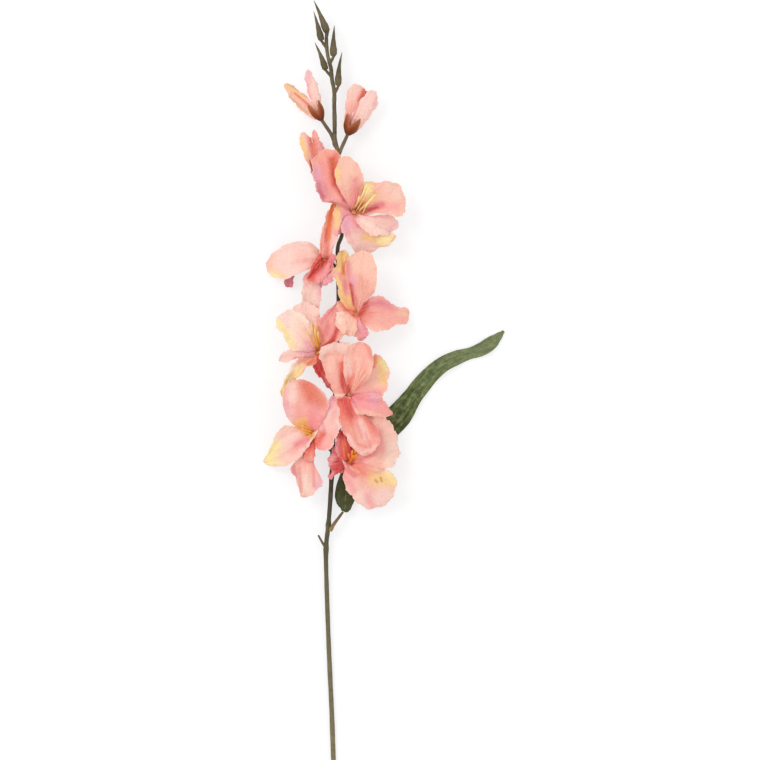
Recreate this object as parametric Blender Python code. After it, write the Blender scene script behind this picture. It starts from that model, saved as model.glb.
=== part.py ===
"""Gladiolus flower spray of moulded stems and stiff formed petals, lying on a table.

The stem lies along +Y, with its cut end at the lowest Y and its closed buds at the highest.
The blooms look up, along +Z. Lengths below are in millimetres and become metres on each mesh.
A place is measured from the cut end of the stem: X across the spray, Y along it, Z up.
"""

import math
from dataclasses import dataclass, field, replace

import bpy
import numpy as np
from mathutils import Quaternion, Vector
from mathutils.bvhtree import BVHTree

MM = 0.001

# Thicknesses and clearances
PETAL_THICKNESS = 0.7
LEAF_THICKNESS = 0.8
SEAT_GAP = 0.3  # between a piece and the piece that carries it
LAYER_GAP = 0.9  # between one petal and the petal that lies over it
CLAW_WIDTH = 2.4  # a petal at its root
CLAW_SHARE = 0.14  # share of a petal's length that stays this narrow
SEAT_RADIUS = 4.7  # from a bloom's middle to its petals' roots
SEAT_SPREAD = 0.80  # least turn between two petals' roots, as a share of even spacing
SEAT_ROUNDS = 60
CUP_RADIUS = 5.6  # the receptacle that carries a bloom
CUP_LENGTH = 12.0

# Grid of a petal's surface: rows run along it and columns across it
ROWS, COLUMNS = 9, 5
LEAF_ROWS = 25
FINER = 4  # each cell is tested at this many places each way

# Main stem, from its cut end to the joint below the closed buds
STEM_ROUTE = (
    (4.4, 0.0, 2.5), (1.7, 76.0, 2.7), (-1.7, 152.0, 3.6), (-4.4, 232.0, 6.0),
    (-4.4, 270.0, 7.8), (-2.0, 298.0, 9.4), (1.0, 345.0, 11.5), (5.8, 445.0, 14.0),
    (9.6, 540.0, 15.0), (9.4, 600.0, 15.0), (14.0, 632.0, 15.2), (12.0, 672.0, 15.6),
    (9.0, 722.0, 16.0), (5.9, 734.0, 16.0), (5.3, 746.0, 16.1),
)
STEM_RADII = (2.5, 2.5, 2.4, 2.3, 2.6, 2.4, 2.2, 2.1, 2.0, 2.0, 2.0, 1.9, 1.9, 2.2, 2.0)

# Top of the stem, which is moulded in one with its closed buds
SPIKE_ROUTE = (
    (5.3, 746.3, 16.1), (5.2, 762.0, 16.4), (5.4, 778.0, 16.6), (5.4, 793.0, 16.9),
    (2.3, 808.0, 17.2), (1.2, 820.0, 17.4), (-2.3, 834.0, 17.8), (-3.9, 847.0, 18.0),
    (-3.9, 861.0, 18.2),
)
SPIKE_RADII = (1.9, 1.9, 1.7, 1.8, 1.6, 1.7, 1.4, 1.6, 1.3)

# Closed buds: joint on the spike, root, tip and width
CLOSED_BUDS = (
    ((-3.9, 855.0, 18.2), (-4.6, 860.5, 18.3), (-18.6, 897.6, 19.5), 8.4),
    ((-4.0, 845.0, 18.0), (-9.6, 853.0, 18.8), (-18.4, 885.5, 18.0), 6.4),
    ((-0.6, 827.0, 17.6), (3.6, 835.0, 19.0), (5.0, 869.0, 20.5), 7.6),
    ((1.0, 813.0, 17.3), (-5.8, 819.0, 17.0), (-17.6, 849.5, 14.0), 6.6),
    ((5.0, 794.0, 16.9), (9.6, 801.0, 18.4), (14.4, 838.0, 17.0), 7.7),
)

# Leaf, which lies on the table, and the stalk that carries it
LEAF_ROUTE = (
    (15.5, 316.0, 7.4), (18.5, 330.0, 5.0), (27.0, 354.0, 2.6), (44.0, 382.0, 1.6),
    (64.0, 407.0, 1.4), (80.0, 423.0, 1.6), (94.0, 442.5, 2.2), (103.0, 454.0, 2.6),
    (116.5, 469.0, 3.2), (131.0, 481.0, 3.4), (145.5, 488.0, 3.2), (160.0, 492.5, 2.6),
    (172.5, 497.5, 2.0), (186.0, 506.5, 1.4), (200.0, 518.5, 1.0),
)
LEAF_WIDTHS = (5.0, 12.0, 24.0, 27.0, 29.0, 29.0, 26.5, 20.0, 20.5, 19.0, 17.0, 15.5, 12.5, 14.5, 12.5, 2.0)
LEAF_STALK_ROUTE = ((-0.2, 292.5, 12.2), (3.0, 297.0, 12.4), (7.6, 303.0, 11.4), (14.0, 311.0, 8.9))
LEAF_STALK_RADII = (1.5, 1.8, 1.6, 1.2)
LEAF_TIP_ROUND = 0.05
LEAF_WAVE, LEAF_WAVES = 1.4, 4.5
LEAF_TROUGH = 1.2  # how far the edges stand above the midrib

STALK_STEPS = 4
STALK_RADII = (1.8, 1.7, 1.7, 1.7, 1.8, 2.8, 4.9, CUP_RADIUS)
FILAMENT_RADII = (0.6, 0.6, 0.6, 0.7, 1.15, 0.8)
BUD_TWIG_RADIUS = 1.5
BUD_SEAT_SHARE = 0.62  # from the middle of a bud to its petals, as a share of its cup's radius
# Share of a shut bud's length, and of its width there
BUD_SHAPE = ((0.08, 0.72), (0.22, 1.0), (0.42, 0.92), (0.68, 0.6), (1.0, 0.1))
# Cup that holds an opening bud: share of its own radius, and height
CALYX_PROFILE = ((0.0, 0.3), (0.32, 0.3), (0.72, 6.0), (1.0, 15.0), (0.88, 15.4), (0.56, 8.4), (0.0, 7.6))
# Root of the bud's petals inside that cup: share of the same radius, and height
PLUG_PROFILE = ((0.0, 8.4), (0.4, 8.8), (0.78, 15.4), (0.84, 18.0), (0.3, 22.0), (0.0, 22.4))
BUD_CLAW = 16.2  # height at which the petals of a bud leave its root

BARE_PEG = ((-4.2, 268.0, 8.0), (-9.0, 276.0, 9.0), (-13.4, 284.0, 10.0))


@dataclass
class Petal:
    """One petal. Its tip is measured from the middle of its bloom; shares are of its own size."""

    name: str
    tip: tuple
    width: float
    rise: float = 0.20  # how far it first follows the bloom's axis, as a share of its length
    curl: float = 28.0  # how far its tip turns back, in degrees
    bend: float = 0.0  # how far its midrib bows sideways
    roll: float = 0.0  # turn about its own midrib, in degrees
    cup: float = 0.10  # how far its edges stand up, as a share of its width
    fold: float = 0.0  # how much further its anticlockwise edge stands up
    belly: float = 0.64  # where along it the petal is widest
    end: float = 0.62  # width of its last row
    tip_round: float = 0.20  # how far the last row is rounded off
    ruffle: float = 0.035  # height of the waves along its edges
    waves: float = 2.2
    phase: float = 0.0


@dataclass
class Bloom:
    """One open bloom, with its petals from the lowest to the one that lies over the others."""

    name: str
    base: tuple
    axis: tuple
    joint: float  # Y of its stalk on the main stem
    petals: list = field(default_factory=list)
    stamens: tuple = ()  # the tips of its stamens, measured from its middle


@dataclass
class Bud:
    """One opening bud on its twig."""

    name: str
    base: tuple
    axis: tuple
    radius: float  # of the cup at its rim
    twig: tuple
    petals: list = field(default_factory=list)


LOBE = {"rise": 0.3, "curl": 4.0, "cup": 0.2, "belly": 0.52, "end": 0.55, "tip_round": 0.22, "ruffle": 0.0}

BLOOMS = (
    Bloom("bloom_2", (-6.5, 599.0, 22.0), (-0.42, -0.16, 0.9), 588.0, [
        Petal("back", (-45, -29, -15), 18, end=0.5),
        Petal("lower", (-14, -52, -4), 27, rise=0.16, end=0.75),
        Petal("left", (-68, -5, -18), 40, belly=0.6, end=0.66),
        Petal("upper", (9, 61, 6), 32, roll=64, end=0.5, bend=0.06),
        Petal("right", (14, -14, 14), 26, roll=20, cup=0.2),
        Petal("inner", (-24, -19, 17), 26, rise=0.30, cup=0.24, curl=34, belly=0.8),
    ], ((-8, -6, 22), (-10, -9, 20), (-5, -9, 22), (-9, -2, 22))),
    Bloom("bloom_4", (-13.3, 493.6, 24.0), (-0.20, 0.22, 0.95), 478.0, [
        Petal("lower_right", (20, -44, -6), 22),
        Petal("lower", (-43, -46, -10), 22, rise=0.10, roll=16, bend=-0.24, end=0.45),
        Petal("lower_left", (-44, -7, 0), 25, rise=0.30, roll=40),
        Petal("top", (-17, 60, -1), 35),
        Petal("upper_right", (21, 60, 4), 34, roll=-12),
        Petal("left", (-46, 40, 2), 35, end=0.75),
    ], ((-7, 32, 18), (-3, 34, 20), (0, 28, 22), (-10, 26, 20))),
    Bloom("bloom_7", (22.2, 367.5, 24.0), (0.12, -0.02, 0.99), 350.0, [
        Petal("upper", (13, 46, 2), 30),
        Petal("right", (56, 18, -18), 52, end=0.75),
        Petal("left", (-24, 6, 6), 26, roll=-20),
        Petal("lower_left", (-24, -17, 6), 24, roll=-24),
        Petal("upper_left", (-11, 37, 14), 26, roll=30),
        Petal("lower_right", (42, -44, -14), 55, end=0.8),
    ], ((4, 15, 10), (10, 9, 12), (8, 14, 13), (-1, 13, 12))),
    Bloom("bloom_6", (-20.9, 399.0, 27.0), (-0.24, 0.14, 0.96), 384.0, [
        Petal("lower", (-9, -70, -10), 32, end=0.5),
        Petal("lower_right", (21, -14, 6), 30, rise=0.14, curl=40),
        Petal("inner", (2, -25, 8), 22, rise=0.22, cup=0.2, curl=34, belly=0.75),
        Petal("left", (-53, -31, -26), 46, end=0.6, fold=0.10),
        Petal("right", (34, 24, 12), 46, curl=40),
        Petal("top", (-11, 64, 10), 50),
    ], ((-21, 11, 18), (-16, 17, 20), (-10, 20, 22), (-18, 5, 20))),
    Bloom("bloom_1", (27.6, 657.8, 27.0), (0.18, 0.10, 0.97), 640.0, [
        Petal("left", (-24, -19, -6), 24, curl=40),
        Petal("lower", (30, -46, -22), 54, end=0.8),
        Petal("lower_right", (50, -15, -8), 28),
        Petal("upper_left", (-43, 60, 4), 50, end=0.75),
        Petal("right", (57, 21, 4), 38, end=0.84, tip_round=0.12),
        Petal("top", (-6, 62, 22), 35),
    ], ((12, 29, 18), (16, 26, 20), (21, 34, 20), (25, 16, 20), (18, 22, 24))),
    Bloom("bloom_3", (30.6, 537.7, 28.0), (0.14, 0.20, 0.97), 520.0, [
        Petal("lower", (10, -31, 2), 32),
        Petal("left", (-24, 2, 6), 32),
        Petal("lower_left", (-16, -25, 8), 30),
        Petal("right", (60, -1, -26), 39, end=0.6),
        Petal("upper_left", (-19, 71, 6), 34, roll=40, end=0.5),
        Petal("top", (9, 71, 12), 38, end=0.78, tip_round=0.16),
    ], ((3, 48, 20), (10, 43, 22), (14, 30, 22), (6, 38, 24))),
    Bloom("bloom_5", (22.8, 446.0, 34.0), (0.16, 0.10, 0.98), 428.0, [
        Petal("upper_left", (-16, 58, -2), 38),
        Petal("right", (44, 29, -6), 45, end=0.75),
        Petal("lower", (15, -69, -2), 46, end=0.75),
        Petal("left", (-24, 41, 14), 30, roll=22),
        Petal("lower_right", (49, -23, -4), 34, end=0.45),
        Petal("top", (18, 59, 14), 36),
    ], ((16, 30, 20), (12, 33, 22), (19, 24, 20), (9, 27, 22))),
)

# Opening buds: the twig from the stem, the root and lean of the bud, and its petals
BUDS = (
    Bud("bud_left", (-8.6, 760.4, 17.0), (-0.60, 0.80, 0.0), 7.6,
        ((5.9, 734.0, 16.0), (1.5, 745.0, 16.6), (-4.0, 753.6, 17.0), (-8.3, 760.0, 17.0)), [
            Petal("left", (-43, 40, 8), 17, **LOBE),
            Petal("right", (-15, 58, 8), 17, **LOBE),
            Petal("back", (-33, 36, -6), 14, **LOBE),
        ]),
    Bud("bud_right", (20.1, 743.6, 18.0), (0.40, 0.90, 0.0), 9.4,
        ((9.6, 717.0, 16.0), (12.7, 727.0, 16.8), (17.0, 736.5, 17.6), (19.9, 743.0, 18.0)), [
            Petal("left", (9, 56, 10), 27, **LOBE),
            Petal("right", (28, 49, 11), 27, **LOBE),
            Petal("back", (20, 54, -9), 26, **LOBE),
        ]),
    Bud("bud_low", (-15.4, 696.0, 13.0), (-0.20, 0.97, 0.0), 7.0,
        ((12.2, 676.0, 15.4), (3.0, 682.0, 14.4), (-8.0, 688.0, 13.6), (-15.2, 695.4, 13.0)), [
            Petal("left", (-19, 46, 7), 21, **LOBE),
            Petal("right", (-2, 53, 9), 22, **LOBE),
            Petal("back", (6, 35, -7), 16, **LOBE),
        ]),
)


def unit(vector):
    vector = Vector(vector)
    return vector / vector.length


def smooth(value):
    value = min(max(value, 0.0), 1.0)
    return value * value * (3 - 2 * value)


def bezier(p0, p1, p2, p3, u):
    """A point on the curve and its unit tangent."""
    v = 1 - u
    point = v**3 * p0 + 3 * v * v * u * p1 + 3 * v * u * u * p2 + u**3 * p3
    slope = 3 * v * v * (p1 - p0) + 6 * v * u * (p2 - p1) + 3 * u * u * (p3 - p2)
    return point, slope.normalized()


def smooth_route(points, per_span):
    """Points on a smooth curve through the given points (Catmull-Rom)."""
    points = [Vector(point) for point in points]
    ends = [2 * points[0] - points[1], *points, 2 * points[-1] - points[-2]]
    route = []
    for before, start, end, after in zip(ends, ends[1:], ends[2:], ends[3:]):
        for step in range(per_span):
            u = step / per_span
            route.append(0.5 * (
                2 * start
                + (end - before) * u
                + (2 * before - 5 * start + 4 * end - after) * u * u
                + (3 * start - before - 3 * end + after) * u**3
            ))
    route.append(points[-1])
    return route


def smooth_values(values, per_span):
    return [point.x for point in smooth_route([(value, 0, 0) for value in values], per_span)]


def tube_mesh(points, radii, sides):
    """Vertices and faces of a closed tube whose rings stay square to its route."""
    points = [Vector(point) for point in points]
    tangents = [unit(b - a) for a, b in zip(points, points[1:])]
    tangents = [tangents[0]] + [unit(a + b) for a, b in zip(tangents, tangents[1:])] + [tangents[-1]]
    side = tangents[0].orthogonal().normalized()
    vertices = []
    for index, (point, radius) in enumerate(zip(points, radii)):
        if index:
            side = tangents[index - 1].rotation_difference(tangents[index]) @ side
        up = tangents[index].cross(side)
        for corner in range(sides):
            turn = 2 * math.pi * corner / sides
            vertices.append(point + radius * (math.cos(turn) * side + math.sin(turn) * up))
    faces = []
    for ring in range(len(points) - 1):
        for corner in range(sides):
            a = ring * sides + corner
            b = ring * sides + (corner + 1) % sides
            faces.append((a, b, b + sides, a + sides))
    faces.append(tuple(reversed(range(sides))))
    faces.append(tuple(range(len(vertices) - sides, len(vertices))))
    return vertices, faces


def new_object(name, vertices, faces, origin=(0, 0, 0)):
    """An object whose mesh, given in millimetres, is measured from its origin."""
    origin = Vector(origin)
    mesh = bpy.data.meshes.new(name)
    mesh.from_pydata([(Vector(vertex) - origin) * MM for vertex in vertices], [], faces)
    mesh.validate()
    obj = bpy.data.objects.new(name, mesh)
    obj.location = origin * MM
    bpy.context.scene.collection.objects.link(obj)
    return obj


def tube(name, points, radii, sides):
    return new_object(name, *tube_mesh(points, radii, sides))


def join_solids(target, others):
    """Joins the other solids into the target, as one body."""
    for other in others:
        modifier = target.modifiers.new(f"join {other.name}", "BOOLEAN")
        modifier.operation = "UNION"
        modifier.solver = "EXACT"
        modifier.object = other
        other.hide_render = True
        other.display_type = "WIRE"


def material(name, colour, roughness):
    made = bpy.data.materials.new(name)
    made.use_nodes = True
    shader = made.node_tree.nodes["Principled BSDF"]
    shader.inputs["Base Color"].default_value = (*colour, 1.0)
    shader.inputs["Roughness"].default_value = roughness
    shader.inputs["Metallic"].default_value = 0.0
    return made


def stem_point(distance):
    """The middle of the main stem at this Y."""
    route = smooth_route(STEM_ROUTE, 8)
    return min(route, key=lambda point: abs(point.y - distance))


def stalk_route(start, base, axis):
    """From the stem to a receptacle that ends square to the bloom's axis."""
    start, base, axis = Vector(start), Vector(base), unit(axis)
    neck = base - CUP_LENGTH * axis
    middle = start.lerp(neck, 0.5) + Vector((0, 4, 0))
    curve = [
        bezier(start, middle, neck - 5 * axis, neck, step / STALK_STEPS)[0]
        for step in range(STALK_STEPS + 1)
    ]
    return curve + [base - 7.0 * axis, base - 3.0 * axis, base]


def stalk_mesh(bloom, bare):
    """A bloom's stalk; bare leaves its receptacle off."""
    route = stalk_route(stem_point(bloom.joint), bloom.base, bloom.axis)
    rings = STALK_STEPS + 1 if bare else len(route)
    return tube_mesh(route[:rings], STALK_RADII[:rings], 8)


def bloom_stalk(bloom):
    return new_object(f"{bloom.name}_stalk", *stalk_mesh(bloom, False))


def seat_angles(bloom):
    """One angle for each petal's root: towards its tip, but pushed apart to leave each its own room."""
    side, up = cross_axes(bloom.axis)
    tips = [Vector(petal.tip) for petal in bloom.petals]
    turns = [math.atan2(tip.dot(up), tip.dot(side)) % (2 * math.pi) for tip in tips]
    order = sorted(range(len(turns)), key=turns.__getitem__)
    apart = SEAT_SPREAD * 2 * math.pi / len(turns)
    for _ in range(SEAT_ROUNDS):
        for before, after in zip(order, order[1:] + order[:1]):
            wrap = 2 * math.pi if after == order[0] else 0.0
            short = apart - (turns[after] + wrap - turns[before])
            if short > 0:
                turns[before] -= short / 2
                turns[after] += short / 2
    return turns


def cross_axes(axis):
    """Two directions square to the axis."""
    axis = unit(axis)
    side = Vector((0, 1, 0)).cross(axis).normalized()
    return side, axis.cross(side)


def petal_width(petal, t, claw_width):
    """Width of the petal at this share of its length."""
    claw = claw_width / petal.width
    if t < petal.belly:
        spread = max(t - CLAW_SHARE, 0) / (petal.belly - CLAW_SHARE)
        return petal.width * (claw + (1 - claw) * math.sin(math.pi / 2 * spread) ** 0.9)
    return petal.width * (1 - (1 - petal.end) * ((t - petal.belly) / (1 - petal.belly)) ** 2)


def petal_surface(base, axis, petal, angle, seat_radius=SEAT_RADIUS, claw_width=CLAW_WIDTH):
    """The middle surface of a petal, as ROWS by COLUMNS points."""
    base, axis, tip = Vector(base), unit(axis), Vector(petal.tip)
    side, up = cross_axes(axis)
    root = axis * SEAT_GAP + seat_radius * (math.cos(angle) * side + math.sin(angle) * up)
    chord = tip - root
    length = chord.length
    outward = (chord - chord.dot(axis) * axis).normalized()
    across = axis.cross(outward)
    back = (axis - axis.dot(chord) / length**2 * chord).normalized()
    curl = math.radians(petal.curl)
    ending = chord / length * math.cos(curl) - back * math.sin(curl)
    bow = across * petal.bend * length
    spine = (root, root + petal.rise * length * axis, tip - 0.38 * length * ending + bow, tip)
    surface = np.empty((ROWS, COLUMNS, 3))
    for row in range(ROWS):
        t = row / (ROWS - 1)
        turn = math.radians(petal.roll) * smooth((t - 0.05) / 0.5)
        half = petal_width(petal, t, claw_width) / 2
        for column in range(COLUMNS):
            s = 2 * column / (COLUMNS - 1) - 1
            point, tangent = bezier(*spine, t - petal.tip_round * t**3 * s * s)
            square = (across - across.dot(tangent) * tangent).normalized()
            square = Quaternion(tangent, turn) @ square
            face = tangent.cross(square)
            wave = math.sin(2 * math.pi * petal.waves * t + petal.phase + 1.7 * (s > 0))
            rise = (petal.cup + petal.fold * s) * s * s * smooth(t / 0.5)
            rise += petal.ruffle * wave * s**4 * smooth((t - 0.2) / 0.4)
            surface[row, column] = base + point + half * s * square + petal.width * rise * face
    return surface


def tree_of(surfaces, tubes=()):
    """A search tree of petal surfaces and of (vertices, faces) meshes."""
    vertices, faces = [], []
    for surface in surfaces:
        rows, columns = surface.shape[:2]
        start = len(vertices)
        vertices += [tuple(point) for point in surface.reshape(-1, 3)]
        faces += [tuple(start + corner for corner in quad) for quad in grid_faces(rows, columns)]
    for points, polygons in tubes:
        start = len(vertices)
        vertices += [tuple(point) for point in points]
        faces += [tuple(start + corner for corner in polygon) for polygon in polygons]
    return BVHTree.FromPolygons(vertices, faces)


def grid_faces(rows, columns):
    return [
        (row * columns + column, row * columns + column + 1,
         (row + 1) * columns + column + 1, (row + 1) * columns + column)
        for row in range(rows - 1)
        for column in range(columns - 1)
    ]


REACH = 200.0  # how far a search looks
DEEPEST = 22.0  # a point further than this below a surface passes under it


def lift_needed(point, tree, direction, clearance):
    """How far a point has to rise along the direction to clear what lies there."""
    point = Vector(point)
    hit, normal, _, _ = tree.ray_cast(point + REACH * direction, -direction, 2 * REACH)
    if hit is None:
        return 0.0
    lift = (hit - point).dot(direction) + clearance / max(abs(normal.dot(direction)), 0.4)
    return lift if 0 < lift < DEEPEST else 0.0


def finer(surface):
    """The surface's flat cells, sampled FINER times as densely."""
    rows, columns = surface.shape[:2]
    down = np.arange(FINER * (rows - 1) + 1) / FINER
    over = np.arange(FINER * (columns - 1) + 1) / FINER
    row = np.minimum(down.astype(int), rows - 2)
    column = np.minimum(over.astype(int), columns - 2)
    v, u = (down - row)[:, None, None], (over - column)[None, :, None]
    near = surface[row][:, column] * (1 - u) + surface[row][:, column + 1] * u
    far = surface[row + 1][:, column] * (1 - u) + surface[row + 1][:, column + 1] * u
    return near * (1 - v) + far * v


def highest_around(values):
    """For each corner of the surface, the largest value in the cells that meet there."""
    reach = FINER - 1
    padded = np.pad(values, reach)
    span = 2 * reach + 1
    return np.array([
        [padded[row:row + span, column:column + span].max() for column in range(0, values.shape[1], FINER)]
        for row in range(0, values.shape[0], FINER)
    ])


def drape(surface, tree, direction, clearance):
    """Lifts a surface over what lies in the tree, with soft slopes round each place it touches."""
    needed = [[lift_needed(point, tree, direction, clearance) for point in row] for row in finer(surface)]
    lift = highest_around(np.array(needed))
    for _ in range(4):
        padded = np.pad(lift, 1, mode="edge")
        mean = (padded[:-2, 1:-1] + padded[2:, 1:-1] + padded[1:-1, :-2] + padded[1:-1, 2:]) / 4
        lift = np.maximum(lift, 0.95 * mean)
    free = np.array([smooth((row / (ROWS - 1) - 0.03) / 0.10) for row in range(ROWS)])
    return surface + (lift * free[:, None])[..., None] * np.array(direction)


def lay_petals(bloom, around):
    """The bloom's petals, each laid over those before it and over what is around the bloom."""
    angles = seat_angles(bloom)
    axis, up = unit(bloom.axis), Vector((0, 0, 1))
    clearance = PETAL_THICKNESS + LAYER_GAP
    laid = []
    for index, petal in enumerate(bloom.petals):
        surface = petal_surface(bloom.base, axis, petal, angles[index])
        surface[..., 2] = np.maximum(surface[..., 2], PETAL_THICKNESS / 2)
        surface = drape(surface, around, up, clearance)
        if laid:
            surface = drape(surface, tree_of(laid), axis, clearance)
        laid.append(surface)
    return laid


def sheet_object(name, surface, thickness, origin=(0, 0, 0)):
    """A closed slab on both sides of a surface."""
    rows, columns = surface.shape[:2]
    obj = new_object(name, surface.reshape(-1, 3), grid_faces(rows, columns), origin)
    modifier = obj.modifiers.new("thickness", "SOLIDIFY")
    modifier.thickness = thickness * MM
    modifier.offset = 0.0
    return obj


def leaf_surface():
    """The leaf's middle surface: a long strap with wavy edges, lying along its route."""
    start = Vector(LEAF_STALK_ROUTE[-1])
    start += (SEAT_GAP + LEAF_STALK_RADII[-1] / 2) * unit(start - Vector(LEAF_STALK_ROUTE[-2]))
    spans = len(LEAF_ROUTE)
    route = smooth_route((start, *LEAF_ROUTE), 8)
    widths = smooth_values(LEAF_WIDTHS, 8)
    surface = np.empty((LEAF_ROWS, COLUMNS, 3))
    for row in range(LEAF_ROWS):
        for column in range(COLUMNS):
            s = 2 * column / (COLUMNS - 1) - 1
            t = row / (LEAF_ROWS - 1)
            place = (t - LEAF_TIP_ROUND * t**6 * s * s) * spans * 8
            index = min(int(place), spans * 8 - 1)
            point = route[index].lerp(route[index + 1], place - index)
            along = unit(route[index + 1] - route[index])
            across = along.cross((0, 0, 1)).normalized()
            wave = LEAF_WAVE * s * abs(s) * math.sin(2 * math.pi * LEAF_WAVES * t + 1.3 * s)
            trough = LEAF_TROUGH * s * s
            point = point + s * widths[round(place)] / 2 * across
            surface[row, column] = point + Vector((0, 0, wave + trough))
    surface[..., 2] = np.maximum(surface[..., 2], LEAF_THICKNESS / 2)
    return surface


def turned_mesh(base, axis, profile, sides):
    """A closed turned body. The profile's points are (radius, height), and both ends are on the axis."""
    base, axis = Vector(base), unit(axis)
    side, up = cross_axes(axis)
    vertices = [base + profile[0][1] * axis]
    for radius, height in profile[1:-1]:
        for corner in range(sides):
            turn = 2 * math.pi * corner / sides
            vertices.append(base + height * axis + radius * (math.cos(turn) * side + math.sin(turn) * up))
    vertices.append(base + profile[-1][1] * axis)
    last = len(vertices) - 1
    faces = []
    for corner in range(sides):
        beside = (corner + 1) % sides
        faces.append((0, 1 + beside, 1 + corner))
        for ring in range(len(profile) - 3):
            a = 1 + ring * sides
            faces.append((a + corner, a + beside, a + sides + beside, a + sides + corner))
        top = 1 + (len(profile) - 3) * sides
        faces.append((top + corner, top + beside, last))
    return vertices, faces


def closed_bud(index, joint, root, tip, width):
    """A shut bud on its short twig, to be joined to the spike."""
    root, tip = Vector(root), Vector(tip)
    points = [Vector(joint), root] + [root.lerp(tip, share) for share, _ in BUD_SHAPE]
    radii = [1.0, 1.3] + [max(width / 2 * full, 0.3) for _, full in BUD_SHAPE]
    return tube(f"closed_bud_{index}", points, radii, 8)


def bud_twig(bud):
    route = smooth_route(bud.twig, 3)
    return tube(f"{bud.name}_twig", route, [BUD_TWIG_RADIUS] * len(route), 7)


def calyx_mesh(bud):
    profile = [(share * bud.radius, height) for share, height in CALYX_PROFILE]
    return turned_mesh(bud.base, bud.axis, profile, 10)


def bud_solid(bud):
    """The petals of an opening bud, grown together at their root inside its cup."""
    axis = unit(bud.axis)
    profile = [(share * bud.radius, height) for share, height in PLUG_PROFILE]
    body = new_object(f"{bud.name}_petals", *turned_mesh(bud.base, axis, profile, 10))
    root = Vector(bud.base) + BUD_CLAW * axis
    angles = seat_angles(bud)
    lobes = []
    for index, petal in enumerate(bud.petals):
        reach = replace(petal, tip=Vector(petal.tip) - BUD_CLAW * axis)
        surface = petal_surface(root, axis, reach, angles[index], BUD_SEAT_SHARE * bud.radius, bud.radius)
        lobes.append(sheet_object(f"{bud.name}_{petal.name}", surface[:, ::2], PETAL_THICKNESS + 0.2))
    join_solids(body, lobes)
    return body


def stamen_solid(bloom, laid):
    """A bloom's stamens, rising from one small button and lying over its petals."""
    base, axis = Vector(bloom.base), unit(bloom.axis)
    tree = tree_of(laid)
    button = [base + SEAT_GAP * axis, base + 3 * axis, base + 4 * axis]
    body = tube(f"{bloom.name}_stamens", button, (1.9, 1.9, 1.2), 8)
    filaments = []
    for index, tip in enumerate(bloom.stamens):
        end = base + Vector(tip)
        length = (end - base).length
        foot = base + 1.5 * axis
        route = []
        for step in range(len(FILAMENT_RADII)):
            point, _ = bezier(foot, foot + 0.4 * length * axis, end.lerp(base, 0.3) + 0.1 * length * axis, end,
                              step / (len(FILAMENT_RADII) - 1))
            rise = lift_needed(point, tree, axis, 2.0) if step > 1 else 0.0
            route.append(point + rise * axis)
        filaments.append(tube(f"{bloom.name}_filament_{index}", route, FILAMENT_RADII, 4))
    join_solids(body, filaments)
    return body


FINISHES = {
    "stem": ((0.30, 0.24, 0.11), 0.6),
    "spike": ((0.24, 0.18, 0.08), 0.6),
    "leaf": ((0.10, 0.14, 0.05), 0.6),
    "leaf_stalk": ((0.20, 0.10, 0.06), 0.6),
    "calyx": ((0.35, 0.10, 0.03), 0.6),
    "bud": ((0.90, 0.45, 0.34), 0.8),
    "petal": ((0.95, 0.50, 0.42), 0.8),
    "stamen": ((0.95, 0.62, 0.08), 0.6),
}


def clear_scene():
    for obj in list(bpy.data.objects):
        bpy.data.objects.remove(obj)


def build():
    clear_scene()
    stem_path = smooth_route(STEM_ROUTE, 3)
    stem = tube("main_stem", stem_path, smooth_values(STEM_RADII, 3), 8)
    twigs = [bud_twig(bud) for bud in BUDS]
    peg = tube("bare_peg", BARE_PEG, (1.6, 1.3, 1.0), 7)
    join_solids(stem, [*map(bloom_stalk, BLOOMS), *twigs, peg])

    spike = tube("bud_spike", smooth_route(SPIKE_ROUTE, 3), smooth_values(SPIKE_RADII, 3), 8)
    join_solids(spike, [closed_bud(index, *bud) for index, bud in enumerate(CLOSED_BUDS)])

    leaf_stalk_path = smooth_route(LEAF_STALK_ROUTE, 3)
    leaf_stalk = tube("leaf_stalk", leaf_stalk_path, smooth_values(LEAF_STALK_RADII, 3), 8)
    leaf = leaf_surface()
    pieces = {
        "stem": [stem],
        "spike": [spike],
        "leaf": [sheet_object("leaf", leaf, LEAF_THICKNESS)],
        "leaf_stalk": [leaf_stalk],
        "calyx": [], "bud": [], "petal": [], "stamen": [],
    }
    around = [tube_mesh(stem_path, smooth_values(STEM_RADII, 3), 8)]
    for bud in BUDS:
        pieces["calyx"].append(new_object(f"{bud.name}_calyx", *calyx_mesh(bud)))
        pieces["bud"].append(bud_solid(bud))
    placed = [leaf]
    for bloom in BLOOMS:
        laid = lay_petals(bloom, tree_of(placed, around + [stalk_mesh(other, other is bloom) for other in BLOOMS]))
        for petal, surface in zip(bloom.petals, laid):
            name = f"{bloom.name}_petal_{petal.name}"
            pieces["petal"].append(sheet_object(name, surface, PETAL_THICKNESS, bloom.base))
        pieces["stamen"].append(stamen_solid(bloom, laid))
        placed += laid
    return pieces


def finish(pieces):
    """Gives each piece its material and stands the spray on the origin."""
    for kind, (colour, roughness) in FINISHES.items():
        for obj in pieces[kind]:
            obj.data.materials.append(material(obj.name, colour, roughness))
    bpy.context.view_layer.update()
    graph = bpy.context.evaluated_depsgraph_get()
    corners = []
    for obj in (obj for group in pieces.values() for obj in group):
        mesh = obj.evaluated_get(graph).to_mesh()
        corners += [obj.matrix_world @ vertex.co for vertex in mesh.vertices]
    low = [min(corner[axis] for corner in corners) for axis in range(3)]
    high = [max(corner[axis] for corner in corners) for axis in range(3)]
    spray = bpy.data.objects.new("spray", None)
    bpy.context.scene.collection.objects.link(spray)
    spray.location = (-(low[0] + high[0]) / 2, -(low[1] + high[1]) / 2, -low[2])
    for obj in bpy.data.objects:
        if obj is not spray:
            obj.parent = spray


finish(build())
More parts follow.
